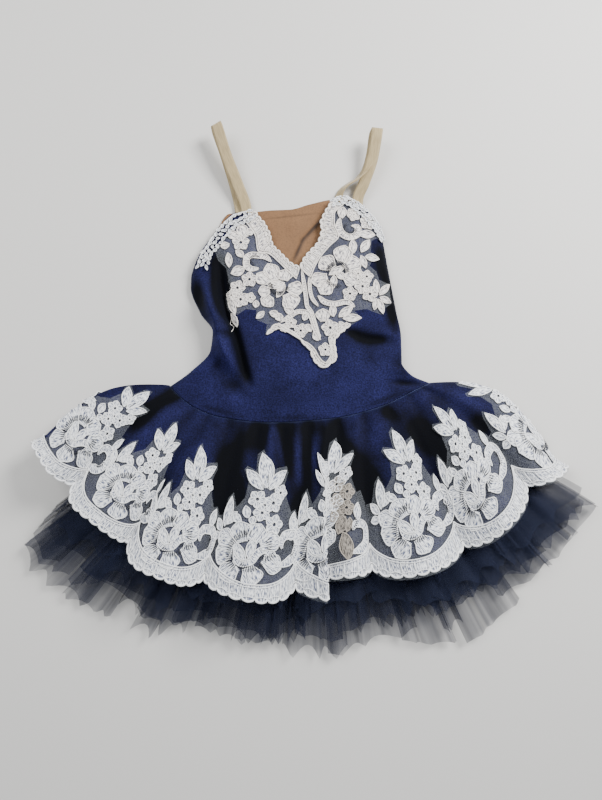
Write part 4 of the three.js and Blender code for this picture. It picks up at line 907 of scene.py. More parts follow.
# %% Blades
def bezier(points, count):
    t = np.linspace(0, 1, count)[:, None]
    p = [np.asarray(point, float) for point in points]
    while len(p) > 1:
        p = [a + (b - a) * t for a, b in zip(p[:-1], p[1:])]
    return p[0] * np.ones((count, 1))


def even(points, count):
    """A smooth line through points, read at even distances."""
    points = np.asarray(points, float)
    length = run(points)
    rows = {"at": length, "x": points[:, 0], "y": points[:, 1]}
    return path(rows, "at", np.linspace(0, length[-1], count))


FILL_ACROSS = 4


def blade(spine, widths, ribbed=False):
    """The outline and the fill grid of a petal, leaf or ribbed band, in flat millimetres."""
    tangent = unit(np.gradient(spine, axis=0))
    normal = np.stack([-tangent[:, 1], tangent[:, 0]], -1)
    side = np.linspace(-1, 1, FILL_ACROSS + 1)
    grid = spine[:, None] + normal[:, None] * widths[:, None, None] * side[None, :, None]
    stitch = np.stack(np.broadcast_arrays(run(spine)[:, None], side[None] * widths[:, None]), -1)
    stitch = stitch[..., ::-1] if ribbed else stitch
    outline = np.concatenate([grid[:, 0], grid[-2:0:-1, -1]])
    return {"grid": grid, "stitch": stitch, "outline": outline, "dome": 1 - side ** 2}


def leaf(x, y, tip_x, tip_y, width, blunt=0.0, bend=0.0, steps=9):
    """A leaf or petal from its stem end to its tip. Blunt keeps it wide at the stem end."""
    start, tip = np.array([x, y]), np.array([tip_x, tip_y])
    aside = np.array([y - tip_y, tip_x - x]) / math.hypot(tip_x - x, tip_y - y)
    t = np.linspace(0, 1, steps)
    widths = width / 2 * (np.sin(np.pi * t ** (0.9 + blunt)) ** 0.95 + blunt * (1 - t) ** 2)
    widths[-1] = width * 0.04
    widths[0] = width * (0.05 + 0.4 * blunt)
    return blade(bezier([start, (start + tip) / 2 + aside * bend, tip], steps), widths)


PETALS = 5
HEART, PETAL_WIDTH, PETAL_BLUNT, PETAL_STEPS = 0.18, 0.74, 0.3, 7  # shares of the flower's radius, then form


def flower(x, y, radius, turn):
    made = []
    for angle in np.radians(turn + np.arange(PETALS) * 360 / PETALS):
        out = np.array([math.cos(angle), math.sin(angle)])
        start, tip = (x, y) + out * radius * HEART, (x, y) + out * radius
        made.append(leaf(*start, *tip, radius * PETAL_WIDTH, PETAL_BLUNT, 0, PETAL_STEPS))
    return made


# %% [markdown]
# ### Cords and fills
# A cord is a tube along a line, flattened a little as a couched cord is. Many cords are joined
# into one mesh, which is far lighter than a curve object for each.


# %% Joined meshes of cords and fills
class Joined:
    """Gathers points and faces of many small forms for one mesh."""

    def __init__(self):
        self.points, self.faces, self.stitch, self.count = [], [], [], 0

    def take(self, points, faces, stitch=None):
        points = np.asarray(points).reshape(-1, 3)
        self.faces.extend([[int(corner) + self.count for corner in face] for face in faces])
        self.points.append(points)
        self.stitch.append(np.zeros((len(points), 3)) if stitch is None else stitch)
        self.count += len(points)

    def piece(self, name, material, slot):
        return new_piece(name, np.concatenate(self.points), self.faces, material,
                         {"stitch": np.concatenate(self.stitch)})


CORD_SIDES, CORD_FLAT = 5, 0.75


def tube(line, radius, closed=False, flat=CORD_FLAT):
    """Points and faces of a cord along a line of points."""
    line = np.asarray(line, float)
    count, sides = len(line), CORD_SIDES
    tangent = np.roll(line, -1, 0) - np.roll(line, 1, 0) if closed else np.gradient(line, axis=0)
    tangent = unit(tangent)
    side = unit(np.cross(tangent, (0, 0, 1)), 1e-6)
    over = np.cross(side, tangent)
    angle = (np.arange(sides) + 0.5) / sides * 2 * np.pi
    ring = side[:, None] * np.cos(angle)[None, :, None] + over[:, None] * np.sin(angle)[None, :, None] * flat
    points = line[:, None] + ring * radius
    k, s = np.meshgrid(np.arange(count if closed else count - 1), np.arange(sides), indexing="ij")
    after, beside = (k + 1) % count, (s + 1) % sides
    corners = [k * sides + s, after * sides + s, after * sides + beside, k * sides + beside]
    faces = np.stack([corner.ravel() for corner in corners], -1).tolist()
    if not closed:
        faces += [list(range(sides)), list(range((count - 1) * sides, count * sides))[::-1]]
    return points, faces


SCALLOP_STEPS, FAN_FORM, INSET_MM = 8, 0.55, 2.4
SLIT_LIFT, SLIT_RADIUS, SLIT_FLAT = 1.25, 0.38, 0.4


class Embroidery:
    """The cords and satin fills that one sewing machine run lays on a ground."""

    def __init__(self, lay):
        self.lay, self.cords, self.fills, self.slits = lay, Joined(), Joined(), Joined()

    def cord(self, line, radius=0.7, lift=0.9, closed=False, count=None):
        line = even(line, count) if count else np.asarray(line, float)
        self.cords.take(*tube(self.lay(line, np.full(len(line), lift)), radius, closed))

    def fill(self, grid, height, stitch):
        rows, across = grid.shape[:2]
        stitch = np.concatenate([stitch, np.zeros((rows, across, 1))], -1).reshape(-1, 3)
        self.fills.take(self.lay(grid, height), grid_faces(rows, across), stitch)

    def blades(self, blades, radius=0.55):
        for made in blades:
            shape = made["grid"].shape[:2]
            self.fill(made["grid"], 0.35 + 0.45 * np.broadcast_to(made["dome"], shape), made["stitch"])
            self.cord(made["outline"], radius, closed=True)

    def border(self, outer, inner, scallops, bulge=3.0):
        """A ribbed band between two lines, with small scallops along the outer one."""
        count = scallops * SCALLOP_STEPS + 1
        outer, inner = even(outer, count), even(inner, count)
        out = unit(outer - inner)
        fan = np.abs(np.sin(np.pi * scallops * np.linspace(0, 1, count)))
        outer = outer + out * (bulge * (fan ** FAN_FORM - FAN_FORM))[:, None]
        inset = inner + out * INSET_MM
        f = np.linspace(0, 1, 6)
        depth = f[None] * np.linalg.norm(outer - inner, axis=1)[:, None]
        self.fill(mix(inner[:, None], outer[:, None], f[None, :, None]),
                  0.3 + 0.6 * fan[:, None] * np.sin(np.pi * f)[None],
                  np.stack(np.broadcast_arrays(depth, run(outer)[:, None]), -1))
        self.cord(outer, 1.0, 0.8)
        self.cord(inner, 0.6, 1.0)
        self.cord(inset, 0.45, 1.0)
        for k in range(0, count, SCALLOP_STEPS):
            self.cord(mix(inset[k], outer[k], np.linspace(0, 1, 4)[:, None]), 0.5, 0.9)
        rise = 0.2 + 0.45 * np.sin(np.linspace(0, np.pi, SCALLOP_STEPS + 1))[:, None]
        for k in range(0, count - SCALLOP_STEPS, SCALLOP_STEPS):
            edge, low = outer[k:k + SCALLOP_STEPS + 1], inset[k:k + SCALLOP_STEPS + 1]
            self.cord(mix(edge, mix(edge, low, rise), 0.55), 0.4, 1.1)

    def rays(self, x, y, near, far, first, last, step_mm=2.1):
        """Dark strips that stand for the open slits round a flower's heart."""
        count = int(abs(math.radians(last - first)) * far / step_mm)
        for angle in np.radians(np.linspace(first, last, count)):
            out = np.array([math.cos(angle), math.sin(angle)])
            line = np.linspace((x, y) + out * near, (x, y) + out * far, 4)
            self.slits.take(*tube(self.lay(line, np.full(4, SLIT_LIFT)), SLIT_RADIUS, flat=SLIT_FLAT))


def net_plate(outline, lay, step=6.0):
    """A sheer ground as triangles, with points inside it so that it follows the cloth."""
    low, high = np.min(outline, axis=0), np.max(outline, axis=0)
    inside = [(x, y) for x in np.arange(low[0], high[0], step) for y in np.arange(low[1], high[1], step)]
    ring = [(k, (k + 1) % len(outline)) for k in range(len(outline))]
    points, _, faces, _, _, _ = delaunay_2d_cdt(
        [Vector(point) for point in [*map(tuple, outline), *inside]], ring, [], 1, 1e-4)
    flat = np.array([tuple(point) for point in points])
    return lay(flat, np.zeros(len(flat))), faces


# %% [markdown]
# ### The hem lace
# One repeat of the lace is a scallop with a ribbed border, a big open flower with three leaves at
# its heart, a hooked scroll, small flowers and leaf sprigs, and a spike that ends in three leaves.
# Eight repeats cross the front. The gathered cloth carries each of them a little to one side, so
# each has its own small shift, for its big flower and for its top leaf.

# %% One repeat of the lace, flat
SMALL_SCALLOPS = 9
NOTCH_UP, LOBE = 0.8, 15.2
PEAK_UP, ARC_UP = 22, -1.5


def band(points, half_width, count=24):
    """A ribbed band of satin stitch along a smooth line, such as a scroll."""
    t = np.linspace(0, 1, count)
    return blade(even(points, count), half_width * np.minimum(1, 0.3 + 4 * np.minimum(t, 1 - t)),
                 ribbed=True)


def motif_blades():
    """The filled forms of one repeat. Across is from the scallop's middle, up from its notches."""
    petals = [leaf(-18, 25, -36, 25, 22, 0.6), leaf(-12, 14, -25, 1, 18, 0.6), leaf(-1, 14, 7, 0, 19, 0.6),
              leaf(11, 23, 30, 17, 16, 0.6), leaf(7, 34, 25, 43, 16, 0.6), leaf(-1, 37, 4, 53, 18, 0.6),
              leaf(-10, 35, -17, 53, 19, 0.6), leaf(-18, 33, -37, 42, 15, 0.6)]
    heart = [leaf(-4, 18, -17, 35, 9, 0.1, 2), leaf(-2, 21, 1, 41, 8, 0.1, 1),
             band([(-16, 27), (-13, 20), (-7, 16.5), (1, 19.5), (5.5, 27), (12, 31), (19, 28), (26, 20)],
                  3.0)]
    small = flower(17, 54, 9, 10) + flower(4, 63, 8, 40) + flower(13, 73, 9, 20) + flower(-2, 75, 8.5, 60) \
        + flower(19, 83, 7.5, 0)
    sprig = [leaf(-33, 48, -30, 76, 10.5, 0.1, -2), leaf(-35, 44, -46, 55, 8, 0.1),
             leaf(-36, 40, -47, 38, 7.5, 0.1),
             leaf(-30, 50, -20, 62, 8, 0.1)]
    buds = [leaf(-8, 57, -12, 68, 7, 0.2), leaf(-14, 53, -24, 59, 7, 0.2), leaf(-4, 52, -3, 59, 6, 0.2)]
    top = [leaf(1, 84, -17, 102, 10, 0.1, -2), leaf(4, 86, -4, 119, 12.5, 0.1, -4),
           leaf(7, 85, 22, 104, 10, 0.1, 2)]
    return petals + heart + small + sprig + buds + top


SCROLL = [band([(27, 19), (37, 22.5), (47, 30), (48.5, 40), (41, 46.5), (31, 45.5), (27, 39), (29, 34)],
               4.0),
          leaf(38, 49, 41, 66, 9.5, 0.1)]
# The fifth repeat runs into the deep fold. Beside it the scroll shows, and lace that lies in shade.
BESIDE_FOLD = [band([(24, 10), (33, 15), (41, 25), (42, 35), (34, 40), (26, 37), (25, 32)], 3.8),
               leaf(29.5, 42, 30.5, 60, 9, 0.1), leaf(-9, 84, -17, 117, 7, 0.1, -2),
               leaf(-14, 84, -21, 101, 5, 0.1),
               leaf(-8, 82, 3, 52, 6, 0.1)]
IN_FOLD = flower(8, 78, 8, 20) + flower(18, 70, 8.5, 0) + flower(9, 62, 7.5, 40) + flower(18, 54, 8, 10) \
    + flower(9, 46, 7, 0) + [leaf(16, 46, 12, 28, 9, 0.3), leaf(17, 30, 21, 3, 11, 0.2),
                             leaf(22, 44, 19, 30, 6, 0.2)]
MOTIF = motif_blades()
NOT_SHIFTED, ALL_SHIFTED, SPIKE_SHIFTED = 1000, -100, 44  # shifts start this far up, over SHIFT_OVER
SHIFT_OVER = 30
FLOWER_UP, TOP_UP = 24, 92  # where the flower's shift holds, and how far above it the top leaf's does
NARROW_TOP = 0.45  # the gathered cloth is this much narrower at the seam
CLEAR_OF_TABLE = 0.9
# How far each repeat's big flower and its top leaf lie from the even pattern, across and up.
SHIFTS = table(
    "repeat flower top up", (0, 14, 4, 4), (1, 9, 2, 3), (2, 1, -5, -4), (3, -2, 1, -1),
    (4, -19, 6, 5), (5, 5, 10, 3), (6, -6, 12, 3), (7, 8, 8, 0))


def hem_lay(index, shift_from=NOT_SHIFTED):
    """Puts a flat place of one repeat, and a height above the cloth, onto the skirt's front."""
    def lay(flat, lift):
        across, up = flat[..., 0], flat[..., 1]
        shifted = soft_step(up, shift_from, shift_from + SHIFT_OVER)
        toward_top = np.clip((up - FLOWER_UP) / TOP_UP, -0.1, 1.1)
        across = across + mix(SHIFTS["flower"][index], SHIFTS["top"][index], toward_top) * shifted
        up = up + SHIFTS["up"][index] * shifted
        narrow = mix(1, NARROW_TOP, np.clip(up / SKIRT_LENGTH, 0, 1))
        from_middle = np.clip(np.abs(2 * across / REPEAT_WIDTH), 0, 1)
        repeat = index + 0.5 + across * mix(1 / narrow, 1, from_middle) / REPEAT_WIDTH
        down = 1 - up / SKIRT_LENGTH
        point = skirt_point(repeat, down)
        point = point + skirt_normal(repeat, down) * (np.asarray(lift) + 0.5)[..., None]
        point[..., 2] = np.maximum(point[..., 2], CLEAR_OF_TABLE)  # where the side folds turn it under
        return point
    return lay


def scallop_lines(index):
    """The border's outer and inner lines across one repeat."""
    across = np.linspace(-0.5, 0.5, 41) * REPEAT_WIDTH
    from_middle = np.abs(2 * across / REPEAT_WIDTH)
    outer = NOTCH_UP - LOBE * (1 - from_middle ** 2.2) ** 0.8
    inner = ARC_UP + (PEAK_UP - ARC_UP) * from_middle ** 2.1
    return np.stack([across, outer], -1), np.stack([across, inner], -1)


SPIKE = [(-48, 44), (-51, 57), (-40, 58), (-36, 74), (-29, 80), (-22, 66), (-14, 76), (-13, 90), (-20, 102),
         (-17, 106), (-7, 102), (-8, 118), (-3, 123), (7, 104), (22, 108), (25, 102), (22, 88), (29, 76),
         (36, 66), (43, 68), (50, 58), (48, 44)]


# %% Lay the hem lace on the front
FOLDED = 4  # the repeat that runs into the deep fold, counted from 0
NET_RIMS = (1.6, 3.6)  # net that shows outside the scallops, left of the fold and right of it
# Slits: round which place, how near and how far they reach, from which angle to which.
HEM_SLITS = records(
    "x y near far first last", (-4, 26, 14.5, 20, 100, 235), (-1, 25, 10, 15, 235, 330),
    (5, 32, 8, 14, 0, 45), (12, 34, 8, 13, 255, 325), (-6, 34, 8, 13, 75, 120),
    (39, 34, 4.5, 7, -80, 60), (5, 88, 3, 11, 95, 115))
hem_net_parts = Joined()
hem_work = Embroidery(None)
for index in range(REPEATS):
    hem_work.lay = hem_lay(index)
    outer, inner = scallop_lines(index)
    hem_work.border(outer, inner, SMALL_SCALLOPS)
    rim = NET_RIMS[0] if index < FOLDED else NET_RIMS[1]
    hem_net_parts.take(*net_plate([*map(tuple, outer - (0, rim)), *SPIKE[::-1]],
                                  hem_lay(index, SPIKE_SHIFTED)))
    hem_work.lay = hem_lay(index, ALL_SHIFTED)
    hem_work.blades(MOTIF)
    for ring in HEM_SLITS:
        hem_work.rays(**ring)
    hem_work.lay = hem_lay(index, NOT_SHIFTED if index == FOLDED else ALL_SHIFTED)
    hem_work.blades(BESIDE_FOLD if index == FOLDED else SCROLL)
# The lace in the fold is drawn in the darker threads, as painted shade.
fold_work = Embroidery(hem_lay(FOLDED))
fold_work.blades(IN_FOLD)

hem_net = hem_net_parts.piece("hem_lace_net", NET, "lace")
hem_fill = hem_work.fills.piece("hem_lace_satin", SATIN, "lace")
hem_cord = hem_work.cords.piece("hem_lace_cord", CORD, "lace")
hem_slits = hem_work.slits.piece("hem_lace_slits", SLIT, "velvet")
fold_fill = fold_work.fills.piece("hem_lace_fold_satin", SHADED_SATIN, "lace")
fold_cord = fold_work.cords.piece("hem_lace_fold_cord", SHADED_CORD, "lace")
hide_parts("hem_lace_front")

# %% [markdown]
# The same lace goes on round the back, under the dress. There it is made with its border, one
# flower and the three top leaves of each repeat.

# %% Hem lace at the back
BACK_MOTIF = flower(0, 28, 18, 0) + [MOTIF[-3], leaf(4, 50, -4, 119, 12.5, 0.1, -4), MOTIF[-1]]


def back_lay(index):
    """Puts a flat place of one repeat onto the underside of the skirt's back."""
    def lay(flat, lift):
        share = np.clip((index + 0.5 + flat[..., 0] / REPEAT_WIDTH) / REPEATS, 0, 1)
        point = skirt_back_point(share, 1 - flat[..., 1] / SKIRT_LENGTH)
        point[..., 2] = np.maximum(point[..., 2] - VELVET_THICK - 0.4 - 0.6 * np.asarray(lift),
                                   CLEAR_OF_TABLE)
        return point
    return lay


back_net_parts = Joined()
back_work = Embroidery(None)
for index in range(REPEATS):
    back_work.lay = back_lay(index)
    outer, inner = scallop_lines(index)
    back_work.border(outer, inner, SMALL_SCALLOPS)
    back_work.blades(BACK_MOTIF)
    back_net_parts.take(*net_plate([*map(tuple, outer - (0, NET_RIMS[0])), *SPIKE[::-1]], back_lay(index)))
back_net = back_net_parts.piece("hem_lace_back_net", NET, "lace")
back_fill = back_work.fills.piece("hem_lace_back_satin", SATIN, "lace")
back_cord = back_work.cords.piece("hem_lace_back_cord", CORD, "lace")
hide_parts("hem_lace_back")

# %% [markdown]
# ## Lace on the bodice
# The same lace was cut apart and sewn by hand over both cups, so that its ribbed border follows
# the neckline and the cut pieces meet in a point below the bust. The tables give each leaf from
# its stem to its tip, and each flower by its middle.

# %% Places of the bodice lace
CUP_LEAVES = records(
    "x y tip_x tip_y width blunt",
    (-57.2, 156.8, -70.6, 150.8, 9.5, 0.1), (-73.9, 173.3, -72.6, 157.5, 6.1, 0.1),
    (-66.1, 176.3, -58.1, 168.8, 6.1, 0.1),
    (-73, 127.2, -65.6, 108.1, 6.1, 0.1), (-44.7, 122.7, -45.4, 115.4, 5.4, 0.2),
    (-36.9, 111, -44.5, 104.1, 5.1, 0.1),
    (-31.2, 111, -22.1, 106.7, 6.1, 0.2), (-22.8, 109.6, -21.1, 101.6, 6.8, 0.4),
    (-16.5, 115.4, -6.2, 108.4, 6.1, 0.1),
    (-35.5, 116.9, -38.4, 124.2, 4.9, 0.2), (-24.4, 144.9, -34.5, 162.8, 10.8, 0.5),
    (-17.4, 144.9, -16.7, 156.8, 11.5, 0.5),
    (-13.1, 137.5, 1.4, 134.2, 11.5, 0.5), (-14.5, 130.1, -6.2, 115.1, 12.2, 0.5),
    (-30, 127.2, -36.9, 116.9, 9.5, 0.5),
    (-31.4, 133, -42.7, 131.6, 8.1, 0.5), (-31.5, 141.9, -45.1, 150.8, 9.5, 0.5),
    (-16.6, 141.9, -34, 136.7, 7, 0.1),
    (-16.6, 141.2, -24.3, 125.7, 6.8, 0.1), (-17.3, 140.4, -31.5, 143.4, 5.4, 0.1),
    (-56.3, 191.5, -63.8, 206, 10.2, 0.4),
    (-56.4, 196.1, -49.3, 199.1, 6.8, 0.3), (-63.5, 191.5, -76.5, 196.1, 8.1, 0.3),
    (-73.4, 182.4, -82, 180.9, 6.8, 0.3),
    (53.2, 173, 52.7, 188.1, 7, 0.1), (61.1, 174.1, 70, 188.1, 7.4, 0.1), (65.3, 169.5, 79.5, 167, 7, 0.1),
    (61.1, 170.3, 65.8, 156.8, 5.4, 0.1), (41, 162.8, 44.3, 181.6, 12.9, 0.5),
    (43.8, 156.8, 60.3, 165, 12.9, 0.5),
    (32.4, 156.8, 20.4, 169.1, 12.2, 0.5), (26.6, 147.9, 10.3, 142.7, 10.8, 0.5),
    (29.4, 143.4, 20.1, 129.4, 10.8, 0.5),
    (43.7, 149.3, 56.6, 141.9, 10.8, 0.5), (28.1, 150.1, 44.9, 159, 6.1, 0.1),
    (35.2, 152.3, 45.3, 145.6, 6.5, 0.1),
    (33.7, 149.3, 31.9, 134.8, 6.2, 0.1), (58.6, 194.5, 76.1, 194.2, 8.1, 0.3),
    (41.5, 212.9, 43.8, 225.3, 8.1, 0.4),
    (48.8, 216, 56.1, 222.2, 8.1, 0.4), (78.7, 128.6, 89.2, 140.1, 5.7, 0.1),
    (79.4, 126.4, 90.1, 120.5, 5.7, 0.1),
    (77.9, 124.2, 82.3, 108.9, 5.4, 0.1), (75.8, 124.9, 73.5, 112.8, 4.9, 0.1),
    (76.6, 130.1, 75.1, 144.9, 5.4, 0.1),
    (22.4, 100.9, 21.5, 114, 9.5, 0.5), (31.9, 105.9, 31.8, 118.6, 6.2, 0.2),
    (37.6, 105.9, 52, 116.6, 7, 0.1),
    (41.8, 104.5, 60.3, 104.9, 7, 0.1), (38.9, 100.9, 43.3, 91, 6.1, 0.2), (2.5, 102.3, 6, 109.6, 5.4, 0.2),
    (5.3, 98, 10.2, 90.7, 5.7, 0.3), (13.6, 90.7, 17.1, 81.4, 6.8, 0.4))
CUP_FLOWERS = records(
    "x y radius turn",
    (-52.1, 144.9, 8.1, 15), (-64, 136, 7.9, 0), (-60.7, 123.9, 8.4, 36), (-70.2, 128.3, 5.7, 10),
    (-51.1, 125.7, 5.4, 0), (-61.7, 185.1, 8.9, 20), (-0.3, 91.5, 7.4, 0), (-9.9, 99.4, 5.7, 20),
    (29, 94.4, 8.7, 30), (49.1, 129.8, 7.6, 10), (66.4, 147.9, 6.8, 10), (61.9, 137.5, 8.1, 36),
    (69.1, 129.4, 8.1, 0), (57.6, 150.8, 5.7, 0), (68.9, 208, 8.4, 10), (54.6, 216, 6.8, 36),
    (24, 72.1, 7, 20), (-16.4, 94.4, 4.6, 0))
V_LEFT = ([(-48.8, 220.6), (-43.7, 212.9), (-38.5, 206.8), (-35.6, 200.6), (-32.7, 194.5), (-31.6, 188.4),
           (-29, 182.1), (-23.2, 176.3), (-16.8, 169.5), (-10.3, 163.1), (-1.8, 159)],
          [(-58.8, 211.4), (-52.2, 202.2), (-46.3, 191.5), (-45, 180.9), (-43.2, 176), (-34.6, 174.8),
           (-23.2, 165.8), (-14.6, 156.8), (-4.6, 147.1)])
V_RIGHT = ([(32.3, 230.7), (27.2, 222.2), (22.8, 212.9), (21, 206.8), (22.4, 201.4), (21.2, 194.5),
            (17.6, 185.4), (9.7, 176.3), (3.9, 168.8), (-0.6, 159)],
           [(43.9, 228.4), (34.4, 217.5), (34.3, 206.8), (38.7, 193), (28.3, 180.9), (19.7, 170.3),
            (13.9, 159.8), (9.6, 147.9)])
POINT_LEFT = ([(-34.1, 87.1), (-31.1, 92.2), (-22.7, 98.3), (-16.4, 94.4), (-8.7, 90.5), (-1.7, 84.3),
               (3.8, 77.1), (9.4, 71.8), (12.2, 63.5), (17.7, 56.5), (23.2, 53.9)],
              [(-26, 92), (-22.7, 93.6), (-14.3, 90.7), (-5.9, 85.7), (1.1, 81.4), (8, 77.8), (13.6, 72.1),
               (17, 65.7), (21.8, 60), (24.6, 58.6)])
POINT_RIGHT = ([(23.2, 53.9), (30.2, 59), (34.6, 63.5), (34.1, 70.7), (32.8, 80.7), (34.8, 84.3),
                (40.2, 90.7), (49.4, 98)],
               [(24.6, 58.6), (28.1, 63.5), (30, 68.5), (28.9, 76.4), (27.6, 83.5), (31.1, 87.9),
                (36, 93.6), (45.9, 100.1)])
ARMHOLE_LEFT = ([(-52.4, 220.6), (-61.1, 217.5), (-69.7, 214.5), (-76.8, 207.5), (-83.8, 199.1),
                 (-90.7, 189.2), (-96.2, 179.3), (-101.7, 168.8), (-104, 158.6)],
                [(-46.5, 212.9), (-56.6, 206.8), (-63.7, 202.2), (-70.8, 194.5), (-76.4, 188.4),
                 (-82, 180.9), (-87.5, 173.3), (-90.9, 165.8), (-92.1, 156.8)])
ARMHOLE_RIGHT = ([(33, 233), (43.2, 236.5), (53.4, 232.7), (63.4, 225.3), (73.3, 214.5), (81, 202.9),
                  (85.1, 191.5)],
                 [(34.4, 225.3), (43.1, 227.6), (50.4, 225.3), (58.9, 217.5), (67.4, 207.5), (75.2, 199.1),
                  (81.5, 189.2)])
SCROLLS = (
    ([(-43, 156.8), (-50.1, 156.1), (-55.6, 160.5), (-55.3, 167.3), (-48.9, 171.8), (-38.9, 171.5),
      (-30.3, 165.8)], 3.0),
    ([(52.2, 204.5), (58.7, 201.9), (57.9, 194.5), (49.9, 190.7), (42.1, 195.3), (38.8, 203.7),
      (40.1, 212.9)], 3.2),
    ([(17.3, 127.9), (23.6, 121.3), (33.5, 119.1), (44.8, 121.3), (53.9, 116.6)], 2.4),
    ([(-20.6, 100.1), (-11.6, 105.9), (-1.7, 111.3), (7.4, 109.6), (12.3, 99.4), (14.8, 90.7),
      (19.2, 82.1)], 2.0),
    ([(0.8, 156.8), (2.5, 144.9), (4.6, 130.1), (6, 116.9), (10.2, 111), (14, 98), (19.2, 82.8)], 1.6),
    ([(8.4, 148), (8.9, 136), (11, 125.7), (17.3, 116.9)], 1.4))
# The net's cut edge runs along the neckline and the right armhole, then round the leaves.
CUP_GROUND = (
    [*V_LEFT[0][:-1], (-1.2, 158), *V_RIGHT[0][-2:0:-1], *ARMHOLE_RIGHT[0], (77.2, 190.5),
     (72.4, 187.4), (71.1, 174.8), (80.3, 168.3), (72.4, 164.8), (69.4, 159.8), (76.4, 153.8), (79.1, 144.9),
     (91, 141.4), (89.7, 130.1), (91.6, 120.3), (84.7, 115.4), (81.1, 107.9), (65.8, 114), (53.1, 112.5),
     (61.7, 104.5), (49.4, 97), (40.2, 89.7), (34.8, 83.3), (33.8, 80.7), (35.1, 70.7), (35.6, 63.5),
     (30.2, 58), (23.2, 52.5), (17.2, 55.5), (11.2, 62.5), (8.4, 70.8), (2.8, 76.1), (-2.7, 83.3),
     (-9.7, 89.5), (-17.4, 93.4), (-22.7, 95.3), (-31.1, 89.2), (-35.5, 87.1), (-34, 98.3), (-45.2, 103.2),
     (-44.9, 113), (-55.2, 114), (-63.5, 108.1), (-69.7, 107.5), (-74.9, 116.9), (-76.6, 127.2),
     (-73.4, 144.9), (-75.7, 156.8), (-84.5, 165.8), (-87.5, 174.8), (-82.1, 188.4), (-76.5, 196.1),
     (-66.6, 202.2), (-58.8, 211.4)])

# %% Lay the bodice lace
CUP_SLITS = records(
    "x y near far first last", (-22, 139, 6.5, 11, 170, 350), (37, 153, 7, 12, 0, 175),
    (-46, 166, 4, 6.6, 60, 250),
    (51, 202, 4.6, 7.6, 150, 330), (35, 146, 6, 10, 190, 300), (-55, 205, 3, 8, 60, 120))
LEAF_BLUNT = 0.4  # blunter ones are petals of a big flower
PETAL_WIDER, LEAF_WIDER = 1.4, 1.05
RAY_FROM = 100
bodice_tree = BVHTree.FromPolygons(
    bodice_grid.reshape(-1, 3).tolist(), grid_faces(*bodice_grid.shape[:2]).tolist())


def bodice_lay(flat, lift):
    """Puts a flat place onto the bodice's front from above, or level with its nearest edge."""
    flat = np.asarray(flat, float)
    lift = np.broadcast_to(lift, flat.shape[:-1])
    heights = []
    for x, y in flat.reshape(-1, 2):
        hit = bodice_tree.ray_cast((x, y, RAY_FROM), (0, 0, -1))[0] or bodice_tree.find_nearest((x, y, 8))[0]
        heights.append(hit.z)
    return raised(flat, np.reshape(heights, flat.shape[:-1]) + lift + 0.4)


cup_work = Embroidery(bodice_lay)
for row in CUP_LEAVES:
    wider = PETAL_WIDER if row["blunt"] > LEAF_BLUNT else LEAF_WIDER
    cup_work.blades([leaf(**{**row, "width": row["width"] * wider})])
for row in CUP_FLOWERS:
    cup_work.blades(flower(**row), 0.5)
for spine, half_width in SCROLLS:
    cup_work.blades([band(spine, half_width, 20)])
cup_work.blades([leaf(-70, 110, -63.6, 95.8, 5, 0.1, 1)])
cup_work.cord([(-69.6, 107), (-71, 100), (-67.5, 97), (-69.4, 91)], 0.35, 0.5, count=14)
for lines, scallops, bulge in ((V_LEFT, 13, 3.0), (V_RIGHT, 12, 3.0), (POINT_LEFT, 11, 1.4),
                               (POINT_RIGHT, 8, 1.4)):
    cup_work.border(*lines, scallops, bulge)
for ring in CUP_SLITS:
    cup_work.rays(**ring, step_mm=1.6)
cup_net_parts = Joined()
cup_net_parts.take(*net_plate(CUP_GROUND, bodice_lay, 4.0))
cup_net = cup_net_parts.piece("bodice_lace_net", NET, "lace")
cup_fill = cup_work.fills.piece("bodice_lace_satin", IVORY_SATIN, "lace")
cup_cord = cup_work.cords.piece("bodice_lace_cord", IVORY_CORD, "lace")
cup_slits = cup_work.slits.piece("bodice_lace_slits", SLIT, "velvet")
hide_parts("bodice_lace_left", "bodice_lace_right")

# %% [markdown]
# ### Gathered lace round the armholes
# A narrow strip of lace is drawn up on its thread round each armhole, so that it puckers into small
# uneven loops with dark gaps between them.


# %% Armhole lace
RUFFLE_ROWS = (-0.05, 0.36, 0.76)
RUFFLE_WIDE = 14


def ruffle_lay(flat, lift):
    points = bodice_lay(flat, lift)
    ruffle = np.sin(points[..., 0] * 1.15 + np.sin(points[..., 1] * 0.4)) * np.cos(points[..., 1] * 1.05)
    points[..., 2] += 0.8 + 0.8 * ruffle
    return points


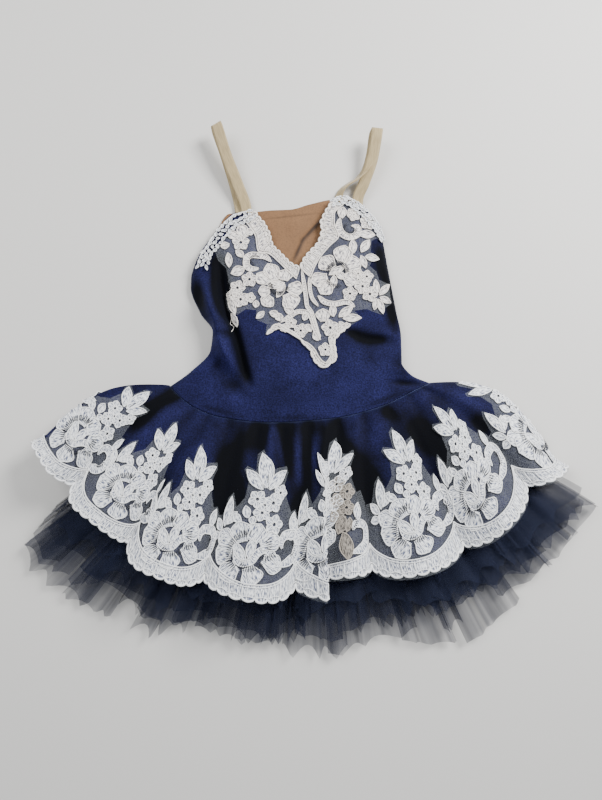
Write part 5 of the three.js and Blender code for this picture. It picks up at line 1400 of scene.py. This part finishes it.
def ruffle(work, outer, inner, count, seed):
    """Three rows of small puckered loops between two lines, with a cord just outside them."""
    rng = np.random.default_rng(seed)
    outer, inner = even(outer, count), even(inner, count)
    along = unit(np.gradient(outer, axis=0))
    for row, place in enumerate(RUFFLE_ROWS):
        for k in range(row % 2, count, 2):
            middle = mix(outer[k], inner[k], place + rng.uniform(-0.08, 0.08))
            turn = rng.uniform(-0.9, 0.9)
            reach = along[k] * math.cos(turn) + (inner[k] - outer[k]) / RUFFLE_WIDE * math.sin(turn)
            reach = reach * rng.uniform(2.0, 3.3)
            work.blades([leaf(*(middle - reach), *(middle + reach), rng.uniform(2.2, 3.6), 0.2)], 0.42)
    work.cord(outer + (outer - inner) * 0.14, 0.6, 0.6)


arm_work = Embroidery(ruffle_lay)
ruffle(arm_work, *ARMHOLE_LEFT, 31, 2)
ruffle(arm_work, *ARMHOLE_RIGHT, 27, 4)
arm_fill = arm_work.fills.piece("armhole_lace_satin", SATIN, "lace")
arm_cord = arm_work.cords.piece("armhole_lace_cord", CORD, "lace")
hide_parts("armhole_lace_left", "armhole_lace_right")

# %% [markdown]
# ## Cloth before it was gathered
# The skirt and the hem lace were far wider before they were gathered.

# %% [markdown]
# ## Floor and light
# The dress lies on a plain pale floor. A large soft lamp stands to the upper right, as in the
# photograph, and a weaker one fills in from the left.

# %% Floor and lights
FLOOR_SIZE = 3.0


def make_floor():
    mesh = bpy.data.meshes.new("floor")
    half = FLOOR_SIZE / 2
    mesh.from_pydata([(-half, -half, 0), (half, -half, 0), (half, half, 0), (-half, half, 0)], [],
                     [(0, 1, 2, 3)])
    floor = bpy.data.objects.new("floor", mesh)
    bpy.context.collection.objects.link(floor)
    mesh.materials.append(start_material("plain_floor", Roughness=0.9, Base_Color=linear("#d9d7d3"))[0])


def add_lamp(name, place, size, energy):
    lamp = bpy.data.objects.new(name, bpy.data.lights.new(name, "AREA"))
    bpy.context.collection.objects.link(lamp)
    lamp.location = place
    lamp.rotation_euler = (-Vector(place)).to_track_quat("-Z", "Y").to_euler()
    lamp.data.size = size
    lamp.data.energy = energy


make_floor()
add_lamp("key_lamp", (0.75, 0.55, 0.75), 0.45, 25)
add_lamp("fill_lamp", (-0.7, 0.5, 1.0), 0.8, 12)
world = bpy.data.worlds.new("studio")
bpy.context.scene.world = world
world.use_nodes = True
background = world.node_tree.nodes["Background"]
background.inputs["Color"].default_value = linear("#e8ecf2")
background.inputs["Strength"].default_value = 0.52
